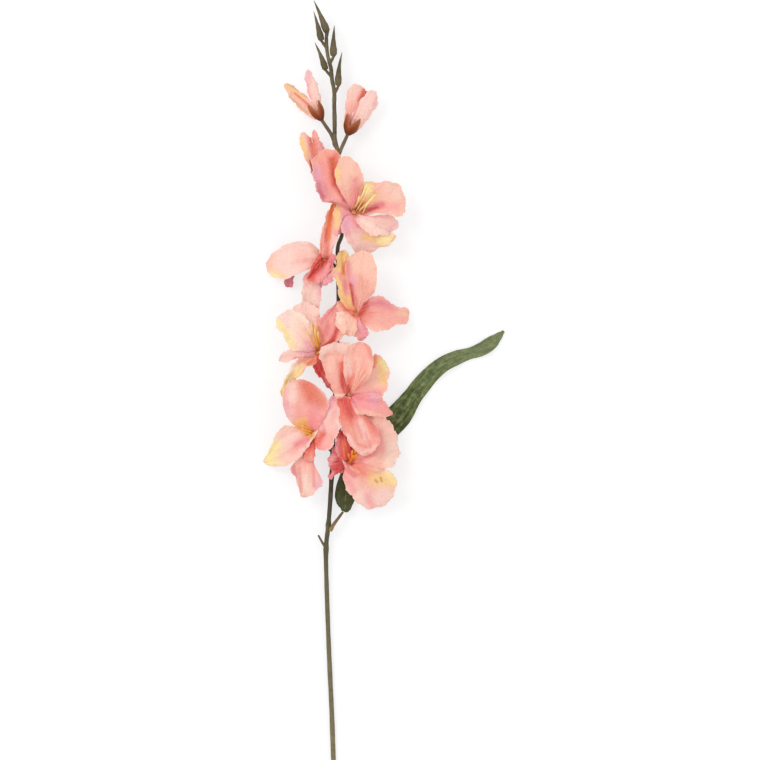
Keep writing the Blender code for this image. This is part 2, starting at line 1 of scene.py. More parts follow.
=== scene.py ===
"""Looks of the gladiolus spray: dyed cloth petals, a printed leaf and moulded stems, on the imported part.

Lengths in the tables are in millimetres, measured as in the part's source: X across the spray, Y along it
from the middle of the stem's cut end, Z up from the table. Colours are sRGB, from 0 to 255.
"""

import math
from dataclasses import dataclass

import bpy
import numpy as np
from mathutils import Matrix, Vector, noise
from mathutils.bvhtree import BVHTree


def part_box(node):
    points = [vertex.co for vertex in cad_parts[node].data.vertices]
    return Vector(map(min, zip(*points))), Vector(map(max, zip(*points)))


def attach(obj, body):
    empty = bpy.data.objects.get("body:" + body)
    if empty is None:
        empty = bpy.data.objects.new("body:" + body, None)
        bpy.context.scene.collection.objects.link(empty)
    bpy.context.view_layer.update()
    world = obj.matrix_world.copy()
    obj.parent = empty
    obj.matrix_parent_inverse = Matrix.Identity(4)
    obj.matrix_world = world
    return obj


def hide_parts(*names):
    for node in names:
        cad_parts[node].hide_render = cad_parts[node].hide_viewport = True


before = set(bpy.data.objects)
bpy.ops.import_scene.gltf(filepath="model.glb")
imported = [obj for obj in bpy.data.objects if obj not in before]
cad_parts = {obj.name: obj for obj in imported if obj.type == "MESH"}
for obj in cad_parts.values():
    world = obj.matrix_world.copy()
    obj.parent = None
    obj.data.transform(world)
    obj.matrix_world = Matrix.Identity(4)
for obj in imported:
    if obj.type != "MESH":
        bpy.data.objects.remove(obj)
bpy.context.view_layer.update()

MM = 0.001
UP = Vector((0, 0, 1))
STEM_LOW = Vector((-26.06, -0.09, 0.0))  # lowest corner of the main stem
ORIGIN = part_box("main_stem")[0] - STEM_LOW * MM  # middle of the stem's cut end, on the table

# Cloth
CLOTH = 0.35
LEAF_CLOTH = 0.5
ROWS, COLUMNS = 49, 31  # of a petal's grid: rows run along it
CLAW_WIDTH = 7.0  # a petal at its root
TIP_GAP = 0.04  # of an edge's length, left open for the rounding of the tip
TIP_HANDLE = 0.38  # how long before its tip a petal starts to turn, as a share of its length
OUTLINE_PLACES = 200
OUTLINE_ROUNDS = 8  # of softening of a petal's outline
SECTION_STEPS = 24
HEM_START, HEM_WIDTH = 0.78, 0.14  # of a rolled hem, as shares of the half width
DENT_WIDTH, DENT_LENGTH = 6.5, 13.0
SCALLOP_PITCHES = 17, 7.3, 4.1  # along an edge: wide scallops, small ones and frays
FRAY_BURSTS = 11  # pitch of the frayed stretches
SEAT_RADIUS = 3.0  # from a bloom's middle to its petals' roots
SEAT_SPREAD = 0.80  # least turn between two petals' roots, as a share of even spacing
SEAT_ROUNDS = 60

# How one sheet lies over another
LAYER_GAP = 1.0  # between one petal and the petal that lies over it
BUD_LAYER_GAP = 0.7
REACH = 200.0  # how far a search looks
DEEPEST = 22.0  # a point further than this below a surface passes under it
STEEPEST = 0.4  # slopes steeper than this, as the upward part of their normal, get no wider a gap
DRAPE_ROUNDS = 24  # of spreading each lift to the points round it
DRAPE_SLOPE = 0.985  # share of a lift that the points round it keep

# Dyes, some also laid on the petals as painted shade and painted highlights
DYES = {
    "cream": (254, 226, 208),
    "pale": (254, 212, 200),
    "peach": (254, 200, 178),
    "salmon": (251, 178, 162),
    "pink": (250, 164, 164),
    "rose": (236, 134, 140),
    "coral": (238, 112, 92),
    "red": (216, 72, 70),
    "wine": (190, 74, 92),
    "magenta": (214, 124, 142),
    "lilac": (240, 172, 190),
    "yellow": (254, 234, 166),
    "gold": (250, 206, 138),
    "orange": (236, 122, 66),
    "brick": (228, 120, 96),
    "blood": (186, 42, 44),
    "umber": (204, 148, 84),
    "ochre": (186, 112, 44),
    "amber": (250, 184, 74),
    "saffron": (244, 138, 40),
}

# Looks of the materials
WASH_STOPS = (0.03, 0.26, 0.58, 0.97)  # where a petal's four dyes stand, from its root to its tip
WASH_DRIFT = 0.30  # how far their borders wander, as a share of its length
STROKE_EDGE = (1.9, 0.1)  # from where a stroke fades in to where it is full, in radii
STROKE_WANDER = 0.6  # of that edge, in radii
# how strongly the rim dye covers the cut edge: partly its own colour, partly a painted highlight
CUT_EDGE_AND_HIGHLIGHT_STRENGTH = 0.4
PETAL_THREAD = 0.55  # pitch of the weave
LEAF_THREAD = 0.8
CRINKLE = 0.4  # strength of the creases in cloth
SPECK_SCALE = 260.0  # of the specks in moulded plastic
LEAF_GREENS = ((0.38, (46, 58, 14)), (0.5, (76, 94, 32)), (0.62, (132, 144, 92)))
STEM_BROWNS = (
    (0.0, (128, 118, 86)), (0.30, (104, 94, 66)), (0.38, (82, 80, 52)), (0.48, (56, 40, 30)),
    (0.70, (52, 44, 30)), (0.86, (94, 80, 58)), (1.0, (116, 100, 76)),
)
STALK_SHADE, TWIG_SHADE, PEG_SHADE = 0.55, 0.92, 0.3  # places in the stem's browns
BROWNS_LENGTH = 750.0  # over which they run
CUP_PINK = (214, 104, 88)
CALYX_BROWNS = ((0.0, (104, 42, 6)), (0.6, (136, 58, 12)), (1.0, (186, 104, 54)))
SPIKE_BROWNS = ((0.0, (86, 76, 50)), (1.0, (112, 98, 70)))
LEAF_STALK_BROWNS = ((0.0, (150, 128, 80)), (0.3, (122, 84, 66)), (1.0, (110, 92, 60)))
STAMEN_FOOT = (206, 122, 74)
POLLEN_GRAIN = (206, 140, 50)


@dataclass
class Petal:
    """One petal, as seen from above: X and Y are measured from the middle of its bloom, Z as well."""

    name: str
    tip: tuple
    left: tuple  # points of its anticlockwise edge, from its root to its tip
    right: tuple  # points of its clockwise edge
    dye: str  # at its root, a quarter of the way, past the middle, and at its tip
    strokes: tuple = ()  # of dye, some of them painted shade in folds and painted highlights on ridges and rims: its name, from (x, y), to (x, y), radius and strength
    creases: tuple = ()  # from (x, y), to (x, y), half width, and height, or depth where it is negative
    rise: float = 0.20  # how far it first follows the bloom's axis, as a share of its length
    curl: float = 28.0  # how far its tip turns back, in degrees
    roll: float = 0.0  # turn about its own midrib, in degrees
    cup: float = 22.0  # how far its sides turn up, in degrees
    hem: float = 0.0  # how far its anticlockwise edge rolls over, in degrees
    ragged: float = 0.7  # depth of the scallops of its edge, in millimetres
    ruffle: float = 1.4  # height of the waves along its edges, in millimetres
    waves: float = 2.6  # how many of them
    pleats: float = 0.7  # height of its lengthwise pleats, in millimetres
    crumple: float = 0.9  # height of its dents, in millimetres
    bent: bool = False  # its middle runs halfway between its edges
    streak: float = 0.30  # strength of its veins
    rim: str = "cream"  # dye of its cut edge, laid on partly as a painted highlight along it


@dataclass
class Bloom:
    """One open bloom, with its petals from the lowest to the one that lies over the others."""

    name: str
    base: tuple
    axis: tuple
    joint: float  # Y of its stalk on the main stem
    petals: list
    stamens: tuple = ()  # their tips, each with X and Y of its foot where that is not in the middle
    pollen: tuple = ("gold", "yellow")  # dyes of its stamens: stalks and tips
    anther: float = 0.9  # radius of their tips
    throat: tuple = ("coral", 0, 0, 0, 1, 4, 0.6)  # the stroke of dye in its middle, on every petal
    shaft: float = 0.42  # radius of the stalks of its stamens


@dataclass
class Bud:
    """One opening bud on its twig."""

    name: str
    base: tuple
    axis: tuple
    radius: float  # of its calyx, where that is full
    twig: tuple
    petals: list


BLOOMS = (
    Bloom("bloom_2", (-6.5, 599.0, 22.0), (-0.42, -0.16, 0.9), 588.0, [
        Petal("back", (-40, -31, -14), ((-14, 2), (-25, 0), (-32, -8), (-35, -18), (-35, -28)),
            ((-14, 6), (-32, 2), (-41, -9), (-44, -20), (-46, -28)), "rose rose rose magenta", bent=True),
        Petal("lower", (-16, -58, -4), ((-1, -20), (-3, -33), (-4, -46), (-6, -55)),
            ((-22, -16), (-25, -32), (-25, -46), (-24, -55)), "rose pink pale pale",
            (("lilac", -2, -27, -4, -38, 3, 0.9), ("cream", -18, -34, -13, -50, 6, 0.5)), rise=0.16,
            pleats=0.3, crumple=0.6),
        Petal("left", (-67, -6, -18), ((-12, -8), (-28, -14), (-44, -21), (-57, -19), (-65, -13)),
            ((-6, 12.5), (-13, 19), (-22, 22.5), (-42, 19.5), (-58, 10), (-65, 0)), "salmon pale pale pale",
            (("gold", -64, -12, -50, -19, 6, 0.6), ("yellow", -60, -15, -54, -19, 3, 0.7),
            ("salmon", -26, 4, -14, 0, 8, 0.6), ("peach", -60, 4, -64, -8, 4, 0.8),
            ("umber", -14, 18, -9, 9, 3, 0.35)), ragged=0.3, ruffle=0.9, pleats=0.4),
        # Its orange strokes down its valley are partly print, partly painted shade in the fold.
        Petal("upper", (12, 67, 6), ((-7, 3), (-5, 14), (-4, 28), (0, 42), (4, 56)),
            ((9, 3), (10, 12), (14, 22), (18, 36), (20, 52)), "salmon salmon salmon salmon",
            (("pale", 18, 50, 12, 16, 6, 1.0), ("lilac", 19, 43, 15, 30, 3, 0.6),
            ("gold", 15, 64, 16, 47, 4, 1.0), ("salmon", -2, 40, -5, 20, 3, 1.0),
            ("coral", 4, 34, 3, 12, 3, 0.8), ("orange", 9, 64, 4, 26, 3, 1.0),
            ("orange", 9, 60, 5, 34, 1.6, 1.0), ("red", 3, 36, 2, 22, 1.4, 0.6)),
            ((9, 61, 4, 20, 2.5, -1.4), (1, 50, -2, 20, 1.8, 1.0)), roll=14, cup=30),
        Petal("right", (0, -29, 14), ((9, 8), (14, 3), (10, -6), (12, -14), (10, -21), (5, -27)),
            ((-4, -4), (-6, -14), (-5, -24)), "coral pink pink pink",
            (("rose", 12, 4, 8, -6, 3, 1.0), ("lilac", 9, -15, 3, -24, 3, 0.7)), ruffle=1.8, waves=5.0,
            ragged=1.4, rim="rose"),
        # Its red and blood strokes down its valley are painted shade in the fold.
        Petal("inner", (-20, -22, 17), ((8, 0), (5, -14), (-6, -25)), ((-4, 9), (-13, -4), (-17, -16)),
            "coral red coral coral",
            (("pink", 5, -5, -5, -21, 5, 1.0), ("coral", -14, -20, -19, -23, 3, 0.9),
            ("coral", -3, 8, -13, -6, 3, 0.9), ("red", 4, 5, -15, -17, 3.4, 1.0),
            ("blood", 0, 1, -13, -14, 1.2, 0.4)), ((4, 5, -15, -17, 2.2, -1.8), (-2, 5, -13, -4, 1.6, 1.2)),
            rise=0.16, cup=20, curl=34, ragged=0.6, crumple=0.6),
    ], stamens=((-8, -6, 22), (-10, -9, 20), (-5, -9, 22), (-9, -2, 22)), pollen=("coral", "coral"),
       anther=0.6, throat=("red", 0, 0, 2, 4, 4, 0.8)),
    Bloom("bloom_4", (-13.3, 493.6, 24.0), (-0.20, 0.22, 0.95), 478.0, [
        Petal("lower_right", (20, -48, 0), ((12, -8), (16, -26), (20, -38)),
            ((-4, -10), (-6, -18), (4, -31), (13, -42)), "red red coral pink",
            (("red", 2, -8, 0, -22, 6, 1.0), ("blood", 0, -12, 0, -20, 3, 0.5),
            ("rose", 12, -28, 18, -43, 3, 0.8))),
        Petal("lower", (-41, -52, -3), ((-4, -14), (-15, -17), (-20, -27), (-33, -31), (-38, -44)),
            ((-12, -4), (-27, -10), (-36, -26), (-43, -42)), "coral peach yellow yellow",
            (("orange", -1, -7, -11, -12, 3.6, 0.9), ("salmon", -12, -7, -24, -12, 3, 0.7),
            ("cream", -26, -14, -36, -26, 2.5, 0.8)), rise=0.1, curl=16),
        Petal("lower_left", (-46, -9, 0), ((-12, -5), (-28, -8), (-38, -11)),
            ((-12, 3), (-30, 5), (-40, 0)), "pink peach pale pale",
            (("lilac", -7, 1, -18, 2, 4, 0.9), ("rose", -8, -5, -27, -7, 2.4, 0.8)), rise=0.3, ragged=0.8),
        Petal("top", (-14, 60, -1), ((-10, 20), (-22, 42), (-29, 51)), ((3, 20), (3, 38), (-1, 51)),
            "pink pale pale pale", (("salmon", -2, 30, 2, 42, 3, 0.5),), ruffle=1.8),
        # Its red and blood strokes along its lower right fold are painted shade on the side turned away.
        Petal("upper_right", (24, 58, 4), ((-2, 14), (0, 36), (11, 48)),
            ((12, 7), (28, 17), (32, 27), (32, 40)), "red salmon salmon pink",
            (("rose", 10, 22, 12, 30, 4, 0.8), ("rose", 3, 36, 15, 48, 3, 0.7),
            ("brick", 6, 14, 1, 28, 2, 0.7), ("red", 3, 5, 16, 13, 2.6, 1.0),
            ("red", 16, 13, 22, 29, 2.8, 1.0), ("blood", 14, 13, 18, 16, 1.6, 0.5)),
            ((3, 6, 17, 15, 2.0, 2.0), (17, 15, 22, 30, 2.0, 2.2), (6, 14, 12, 34, 3.0, -1.6)), cup=30),
        Petal("left", (-46, 42, 2), ((-14, 1), (-32, 4), (-37, 15), (-43.5, 25), (-49, 31)),
            ((-3, 14), (-9, 34), (-20, 45), (-33, 49)), "rose pale cream cream",
            (("yellow", -46, 34, -36, 22, 4, 1.0), ("yellow", -34, 17, -29, 7, 4, 0.9),
            ("lilac", -7, 3, -12, 11, 4.5, 0.8), ("lilac", -38, 44, -36, 32, 5, 0.3),
            ("salmon", -5, 12, -15, 27, 1.6, 0.6), ("peach", -22, 30, -18, 16, 6, 0.5)),
            ((-4, 10, -16, 28, 1.8, -1.4), (-10, 4, -34, 26, 3.0, -1.0)), pleats=0.4),
    ], stamens=((-8, 34, 18, 0, 3), (-3, 35, 20, 4, 7), (-4, 29, 22, 2, 5), (-14, 26, 18, -2, 2),
       (0, 24, 22, 5, 9)), pollen=("amber", "gold"), anther=1.3, throat=("peach", 0, 0, -2, 8, 3, 0.7),
       shaft=0.8),
    Bloom("bloom_7", (22.2, 367.5, 24.0), (0.12, -0.02, 0.99), 350.0, [
        Petal("upper", (10, 44, 2), ((-4, 14), (-8, 30)), ((14, 10), (20, 30)), "red orange salmon salmon"),
        # Its rose stroke along its valley is painted shade in the fold.
        Petal("right", (57, 17, -8), ((6, 24), (11, 50), (19, 59), (31, 59), (41, 54), (48, 46), (54, 32)),
            ((14, -3), (30, -10), (44, -7), (55, 2)), "coral salmon peach pale",
            (("rose", 14, 4, 28, 13, 4, 0.8), ("rose", 33, 34, 36, 16, 5, 0.6),
            ("cream", 52, 20, 46, 0, 6, 0.6), ("salmon", 20, -1, 36, 4, 3, 0.6),
            ("orange", 3, 5, 10, 13, 4.5, 1.0)), ((12, 1, 28, 13, 2.5, -1.6),), ruffle=2.2, waves=3.6,
            ragged=1.1),
        Petal("left", (-25, 4, 6), ((-8, -4), (-20, -7)), ((-9, 14), (-17, 19), (-21, 9)),
            "red coral rose pink", (("red", -11, 8, -14, -6, 4, 0.7), ("pink", -21, 8, -24, -2, 3, 0.9)),
            ((-10, 9, -15, -8, 2.2, -1.6),), ragged=1.1, ruffle=2.2, waves=4.0, rim="pale"),
        Petal("lower_left", (-25, -16, 6), ((-4, -9), (-12, -12), (-20, -18)),
            ((-10, 2), (-20, -3), (-21, -11)), "red red rose rose",
            (("red", -8, -3, -18, -9, 5, 1.0), ("pink", -20, -12, -25, -16, 3, 0.9)), ragged=1.1,
            ruffle=2.2, waves=4.0, rim="pale"),
        Petal("upper_left", (-10, 40, 14), ((-9, 3), (-15, 12), (-15, 26)),
            ((4, 8), (4, 17), (-1, 26), (-6, 35)), "coral red red red",
            (("coral", -5, 6, -8, 26, 3.5, 1.0), ("orange", -3, 8, -5, 20, 2, 0.8),
            ("blood", -9, 37, -8, 28, 2, 0.6), ("pink", -13, 8, -14, 26, 2.4, 0.9)),
            ((-11, 30, -10, 6, 2.0, -1.2), (-5, 28, -4, 8, 2.0, 1.0)), rise=0.1, pleats=1.0, streak=0.5),
        Petal("lower_right", (38, -50, -10), ((14, 0), (34, -8), (47, -10), (54, -19), (51, -39)),
            ((-9, 5), (-5, -6), (-7, -14), (-5, -26), (3, -39), (22, -54)), "coral salmon pale pale",
            (("pale", -8, 5, -3, -8, 1.8, 1.0), ("coral", 0, -4, 3, -12, 2.4, 0.8),
            ("coral", 8, -8, 24, -15, 6, 0.7), ("salmon", 10, -22, 26, -28, 7, 0.6),
            ("gold", 30, -18, 48, -20, 8, 1.0), ("yellow", 44, -14, 52, -21, 4, 0.7),
            ("pink", -4, -14, 5, -32, 3.5, 0.8), ("pink", 21, -38, 27, -50, 4, 0.7),
            ("umber", 30, -20, 32, -22, 1.4, 0.9), ("umber", 36, -17, 37, -21, 1.2, 0.9),
            ("rose", -6, -5, 6, -15, 2.2, 0.9), ("peach", -2, -3, 10, -11, 1.6, 0.8)),
            ((-6, -3, 6, -14, 2.2, 2.4), (16, -28, 27, -50, 3.0, -1.6)), ruffle=1.6),
    ], stamens=((8, 16, 12), (9, 10, 13), (4, 15, 14), (-1, 11, 13), (5, 9, 13)),
       pollen=("saffron", "saffron"), anther=1.5, throat=("red", 0, 0, 1, 2, 4, 0.9)),
    Bloom("bloom_6", (-20.9, 399.0, 27.0), (-0.24, 0.14, 0.96), 384.0, [
        # Its rose strokes down its valleys are painted shade in the gathers.
        Petal("lower", (-9, -72, -10), ((4, -16), (3, -32), (13, -53), (4, -65)),
            ((-10, -22), (-24, -36), (-18, -50), (-14, -65)), "coral pink peach pale",
            (("coral", -2, -16, -4, -28, 4, 0.7), ("rose", -22, -34, -19, -46, 3, 0.8),
            ("cream", -8, -48, -7, -62, 4, 0.6), ("lilac", 11, -50, 7, -60, 4, 0.7),
            ("rose", -14, -38, -12, -64, 1.8, 0.5), ("rose", 2, -26, 3, -58, 1.8, 0.5)),
            ((-3, -20, -4, -50, 2.0, 1.6), (-14, -34, -12, -62, 1.8, -1.8), (2, -26, 3, -60, 1.8, -1.8),
            (-8, -30, -8, -64, 1.6, -1.2)), pleats=1.4, streak=0.5),
        Petal("lower_right", (20, -15, 6), ((10, 2), (20, -6)), ((4, -12), (12, -16)),
            "coral coral salmon salmon", rise=0.14),
        Petal("inner", (0, -30, 8), ((5, -12), (4, -22)), ((-7, -14), (-8, -26)), "coral red coral salmon",
            rise=0.22, cup=36),
        Petal("right", (29, 45, 12), ((8, 12), (17, 30), (21, 42)),
            ((5, -14), (20, -17), (29, 0), (35, 20), (34, 36)), "coral pink pale pink",
            (("coral", 6, -9, 13, 1, 4, 1.0), ("salmon", 18, -10, 26, 2, 5, 0.6),
            ("cream", 32, 32, 32, 14, 2.5, 0.8), ("lilac", 20, 34, 24, 43, 4, 0.6),
            ("rose", 12, 16, 15, 4, 1.6, 0.5)), ((26, 26, 27, 4, 3.0, -1.6), (9, 12, 14, 2, 2.0, 1.8)),
            ruffle=1.8, ragged=1.0),
        # Its pale strokes along the rolled rim are a painted highlight, and its rose stroke under the rim is
        # painted shadow.
        Petal("left", (-56, -30.5, -24), ((9, 8), (3, -3), (-5, -14), (-14, -26), (-26, -33), (-42, -36)),
            ((-14, 8), (-31, 11), (-42, -1), (-48, -17)), "pink pale pale peach",
            (("yellow", -42, -12, -50, -28, 7, 1.0), ("yellow", -48, -31, -34, -33, 3, 0.6),
            ("rose", -5, -5, -17, -11, 4, 0.9), ("pink", -10, -8, -22, -18, 5, 0.5),
            ("peach", -34, 4, -26, 8, 5, 0.6), ("pale", 9, 8, 2, -4, 2, 1.0),
            ("pale", 2, -4, -11, -23, 2.4, 1.0)),
            ((-4, -8, -18, -20, 2.5, -1.4), (3, -3, -10, -22, 1.8, 1.2)), hem=40),
        # Its pale strokes on the left are painted light; its brick strokes on the right are partly print,
        # partly painted shade.
        Petal("top", (-14, 64, 10), ((-10, 6), (-23, 14), (-31, 28), (-33, 48), (-27, 60)),
            ((6, 6), (15, 21), (20, 35), (14, 49), (-1, 61)), "pink pink salmon salmon",
            (("pale", -22, 56, -23, 42, 6, 1.0), ("pale", -24, 15, -27, 28, 6, 0.7),
            ("lilac", -30, 24, -29, 36, 4, 0.5), ("rose", 2, 14, 3, 32, 6, 0.5),
            ("brick", -6, 57, 0, 44, 8, 1.0), ("brick", 2, 52, 12, 36, 6, 0.7),
            ("gold", -20, 12, -9, 17, 4, 0.9)), ((-18, 52, -6, 12, 5.0, -1.2),), ragged=0.3, ruffle=1.0,
            pleats=0.4),
    ], stamens=((-16, 15, 18, 1, 5), (-12, 12, 22, 2, 6), (-10, 19, 22, 2, 6), (-11, 8, 20, 2, 2),
       (-20, 10, 19, 1, 2), (-10, 4, 21, 1, 0)), pollen=("amber", "amber"), anther=1.3,
       throat=("amber", 0, 0, -8, 6, 3.5, 0.9), shaft=0.8),
    Bloom("bloom_1", (27.8, 654.4, 27.0), (0.18, 0.10, 0.97), 640.0, [
        Petal("left", (-20, -27, -8), ((-8, -8), (-12, -18)), ((-10, 7), (-19, 10), (-23, 2), (-23, -16)),
            "magenta pink peach pink",
            (("gold", -20, 8, -21, -14, 4, 1.0), ("umber", -20, 9, -13, 8, 2.5, 0.6),
            ("magenta", -9, 2, -9, -8, 3, 0.5)), curl=20),
        Petal("lower", (14, -47, -12), ((8, -6), (24, -14), (47, -26), (42, -36), (29, -41)),
            ((-9, -4), (-15, -17), (-9.5, -30), (1, -44.5)), "rose pink pale pale",
            (("lilac", -8, -6, -9, -18, 6, 0.9), ("gold", 13, -28, 30, -32, 5, 0.9),
            ("yellow", 32, -32, 42, -31, 6, 1.0), ("umber", 47, -28, 43, -35, 1.8, 0.5),
            ("rose", -2, -8, 5, -16, 2, 0.6))),
        Petal("lower_right", (51, -13, -8), ((6, -3), (20, -5), (33, -2), (45, -5)),
            ((2, -10), (8, -17), (17, -25), (30, -27), (44, -23)), "pink pale pale pale",
            (("pink", 22, -4, 38, -4, 2.5, 0.6), ("lilac", 40, -22, 46, -14, 3, 0.4),
            ("cream", 10, -9, 20, -14, 4, 0.6)), ((6, -6, 40, -12, 3.0, -1.4), (20, -4, 34, -3, 1.8, 1.2)),
            ragged=0.9),
        # Its coral stroke down its valley and its brick strokes are painted shade in the fold; its magenta
        # and lilac at the left are partly print, partly painted shade.
        Petal("upper_left", (-34, 73, 4), ((-12, 7), (-24, 10), (-36, 12), (-42, 23), (-47, 42), (-47, 61)),
            ((-3, 14), (-7, 32), (-11, 50), (-14, 64), (-22, 70)), "wine salmon salmon salmon",
            (("pink", -36, 50, -30, 20, 7, 0.8), ("lilac", -44, 48, -41, 34, 6, 0.9),
            ("magenta", -40, 30, -36, 18, 6, 0.9), ("wine", -40, 22, -36, 17, 2.5, 0.5),
            ("pink", -32, 14, -20, 13, 2, 0.8), ("coral", -25, 60, -22, 34, 4.5, 1.0),
            ("red", -21, 32, -10, 15, 3.6, 0.9), ("wine", -26, 11, -14, 8, 1.8, 0.8),
            ("brick", -32, 62, -26, 30, 9, 0.3), ("wine", -11, 14, -3, 5, 2.4, 0.9),
            ("rose", -17, 10, -8, 7, 2.4, 0.9), ("brick", -20, 66, -17, 54, 3.5, 0.6),
            ("umber", -25, 58, -25, 54, 1.8, 0.6)),
            ((-30, 62, -28, 40, 3.0, 2.0), (-28, 40, -12, 18, 3.0, 2.0), (-22, 60, -19, 34, 2.6, -3.0),
            (-42, 36, -24, 20, 3.0, -1.4)), ragged=0.9, ruffle=2.0),
        Petal("right", (59, 10, 4), ((2, 14), (7, 27), (12, 35), (24, 34), (42, 35), (54, 29)),
            ((14, -3.5), (26, -1), (38, -2), (52, -5), (58, -2)), "rose salmon peach peach",
            (("gold", 8, 12, 22, 18, 5, 0.9), ("yellow", 14, 34, 17, 24, 5, 1.0),
            ("pink", 24, 6, 48, 6, 5, 0.7), ("rose", 12, 2, 32, 9, 3.6, 0.9),
            ("red", 8, 0, 26, 6, 2.4, 0.9), ("wine", 6, -1, 18, 3, 2, 0.9),
            ("salmon", 23, 23, 34, 32, 1.6, 0.7), ("pale", 40, 30, 50, 20, 7, 0.5)),
            ((12, 1, 36, 9, 2.4, -1.2), (22, 22, 34, 32, 2.0, 1.4), (10, 34, 13, 20, 2.0, 1.6)), ragged=0.8,
            ruffle=1.6),
        # Its rose stroke right of its crease is painted shade on the side that faces away.
        Petal("top", (-8, 64, 22), ((-9, 13), (-14, 20), (-20, 33), (-22, 45), (-16, 61)),
            ((6, 14), (9.5, 27), (11, 38), (6.5, 51), (-1.5, 60.5)), "rose salmon peach peach",
            (("gold", -21, 34, -18, 48, 3.4, 0.9), ("rose", 1, 12, 2, 36, 4, 0.9),
            ("salmon", 4, 34, 5, 50, 4, 0.5), ("umber", 7, 27, 5, 22, 1.5, 0.5)),
            ((-3, 8, -4, 40, 1.8, -2.4),), ragged=0.4, pleats=0.4),
    ], stamens=((12, 25, 24, -1, 5), (15, 32, 24, 0, 5), (18, 29, 24, 2, 3), (25, 20, 22, 4, 1),
       (22, 16, 22, 6, 1), (17, 11, 22, 8, -2), (6, 18, 26, 0, 4)), pollen=("gold", "yellow"), anther=1.1,
       throat=("ochre", 3, 2, 9, 6, 6, 1.0), shaft=0.7),
    Bloom("bloom_3", (30.6, 537.7, 28.0), (0.14, 0.20, 0.97), 520.0, [
        Petal("lower", (6, -31, 2), ((5, -8), (14.5, -19.5), (11, -26)), ((-5, -8), (-5, -21), (0, -28)),
            "rose pink pink pink",
            (("lilac", 3, -12, 9, -26, 5, 0.5), ("salmon", -2, -12, 1, -26, 3, 0.6))),
        Petal("left", (-23, 9, 6), ((-6, -4), (-18, -3)), ((-8, 7), (-15, 14), (-20, 15)),
            "coral salmon salmon peach", (("coral", -18, 15, -10, 5, 4, 0.9),)),
        Petal("lower_left", (-12, -24, 8), ((1, -8), (0, -18), (-3, -25)),
            ((-10, 3), (-22, 2), (-24, -11), (-18, -20)), "coral peach peach peach",
            (("coral", -9, 4, -1, -3, 2, 1.0), ("cream", -19, 0, -20, -9, 3, 0.8)), crumple=0.4,
            pleats=0.4),
        Petal("right", (61, 0, -20), ((7, 12), (20, 21), (32, 19), (44, 9), (56, 8)),
            ((7, -10), (20, -19.5), (36, -17.5), (49, -11), (58, -11)), "red salmon salmon salmon",
            (("pink", 14, 14, 40, 9, 6, 0.9), ("rose", 12, 12, 30, 12, 3, 0.7),
            ("magenta", 26, 15, 36, 12, 3, 0.4), ("peach", 12, -15, 30, -18, 4, 0.9),
            ("peach", 50, 5, 58, 0, 5, 0.8), ("brick", 8, 4, 14, 0, 5, 0.5), ("red", 4, 1, 10, 10, 4, 1.0)),
            ((3, 0, 12, 14, 2.4, -2.0), (12, 4, 46, 3, 2.5, -1.2))),
        Petal("upper_left", (-13, 74, 6), ((-12, 7), (-20, 20), (-23, 38), (-29, 47), (-23, 54), (-23, 66)),
            ((-3, 14), (-8, 40), (-8, 62)), "coral gold gold gold",
            (("salmon", -27, 47, -18, 44, 3.5, 0.9), ("salmon", -17, 42, -12, 28, 3, 0.8),
            ("pink", -12, 38, -11, 24, 3, 0.9), ("orange", -12, 58, -14, 47, 2.8, 0.8),
            ("umber", -17, 69, -21, 56, 3.5, 0.4)),
            ((-18, 70, -18, 52, 2.0, 1.6), (-22, 46, -13, 18, 2.2, 1.8), (-14, 56, -11, 30, 2.0, -1.6)),
            ruffle=1.8, waves=3.4),
        # Its red and blood strokes down its valley are painted shade in the fold; its rose and lilac down
        # its left side are partly print, partly painted shade.
        Petal("top", (8, 73, 12), ((-5, 14), (-9, 32), (-13, 48), (-11, 61), (-2, 70)),
            ((10, 16), (20, 23), (23, 38), (23, 54), (17, 68)), "coral salmon peach peach",
            (("rose", -11, 58, -8, 34, 4, 0.8), ("lilac", -3, 42, -3, 28, 4, 0.6),
            ("red", -7, 32, -4, 12, 3, 1.0), ("blood", -6, 26, -4, 12, 1.6, 0.9),
            ("salmon", 2, 32, 1, 12, 2.5, 0.5), ("rose", -1, 20, 1, 10, 1.4, 0.7)),
            ((-7, 34, -4, 12, 2.2, -2.4), (1, 46, 0, 12, 1.6, -1.2)), ragged=0.3, pleats=0.5),
    ], stamens=((3, 48, 20), (10, 43, 22), (14, 30, 22), (6, 38, 24)), pollen=("peach", "salmon"),
       anther=0.8, throat=("coral", 1, 1, 4, 6, 3.5, 0.6)),
    Bloom("bloom_5", (22.8, 446.0, 34.0), (0.16, 0.10, 0.98), 428.0, [
        Petal("upper_left", (-16, 60, -2), ((-14, 14), (-32, 37), (-34, 52)), ((2, 20), (2, 45), (-2, 59)),
            "coral pale cream pale", (("peach", -32, 44, -16, 48, 4, 0.5),), ruffle=2.2, ragged=1.1),
        Petal("right", (44, 32, -6), ((10, 16), (24, 41), (31, 46)), ((12, -4), (36, -4), (44, 13)),
            "pink salmon peach peach",
            (("gold", 35, 36, 39, 14, 4, 0.9), ("yellow", 37, 38, 43, 30, 3.5, 1.0),
            ("orange", 29, 43, 27, 32, 2.6, 0.8), ("pink", 20, 4, 36, 2, 5, 0.6)), ragged=1.0),
        # Its rose strokes in its valleys and above its rim are painted shade; its pale strokes on the ridge
        # between and along its rolled rim are painted highlights.
        Petal("lower", (14, -71, -2),
            ((4, -4), (6, -14), (14, -24), (27, -32), (34, -47), (32, -59), (25, -67)),
            ((-14, -1), (-12, -18), (-11, -35), (-4, -50), (4, -62)), "red coral salmon salmon",
            (("pale", -14, -2, 0, -3, 1.8, 1.0), ("red", -6, -6, 0, -24, 5, 0.9),
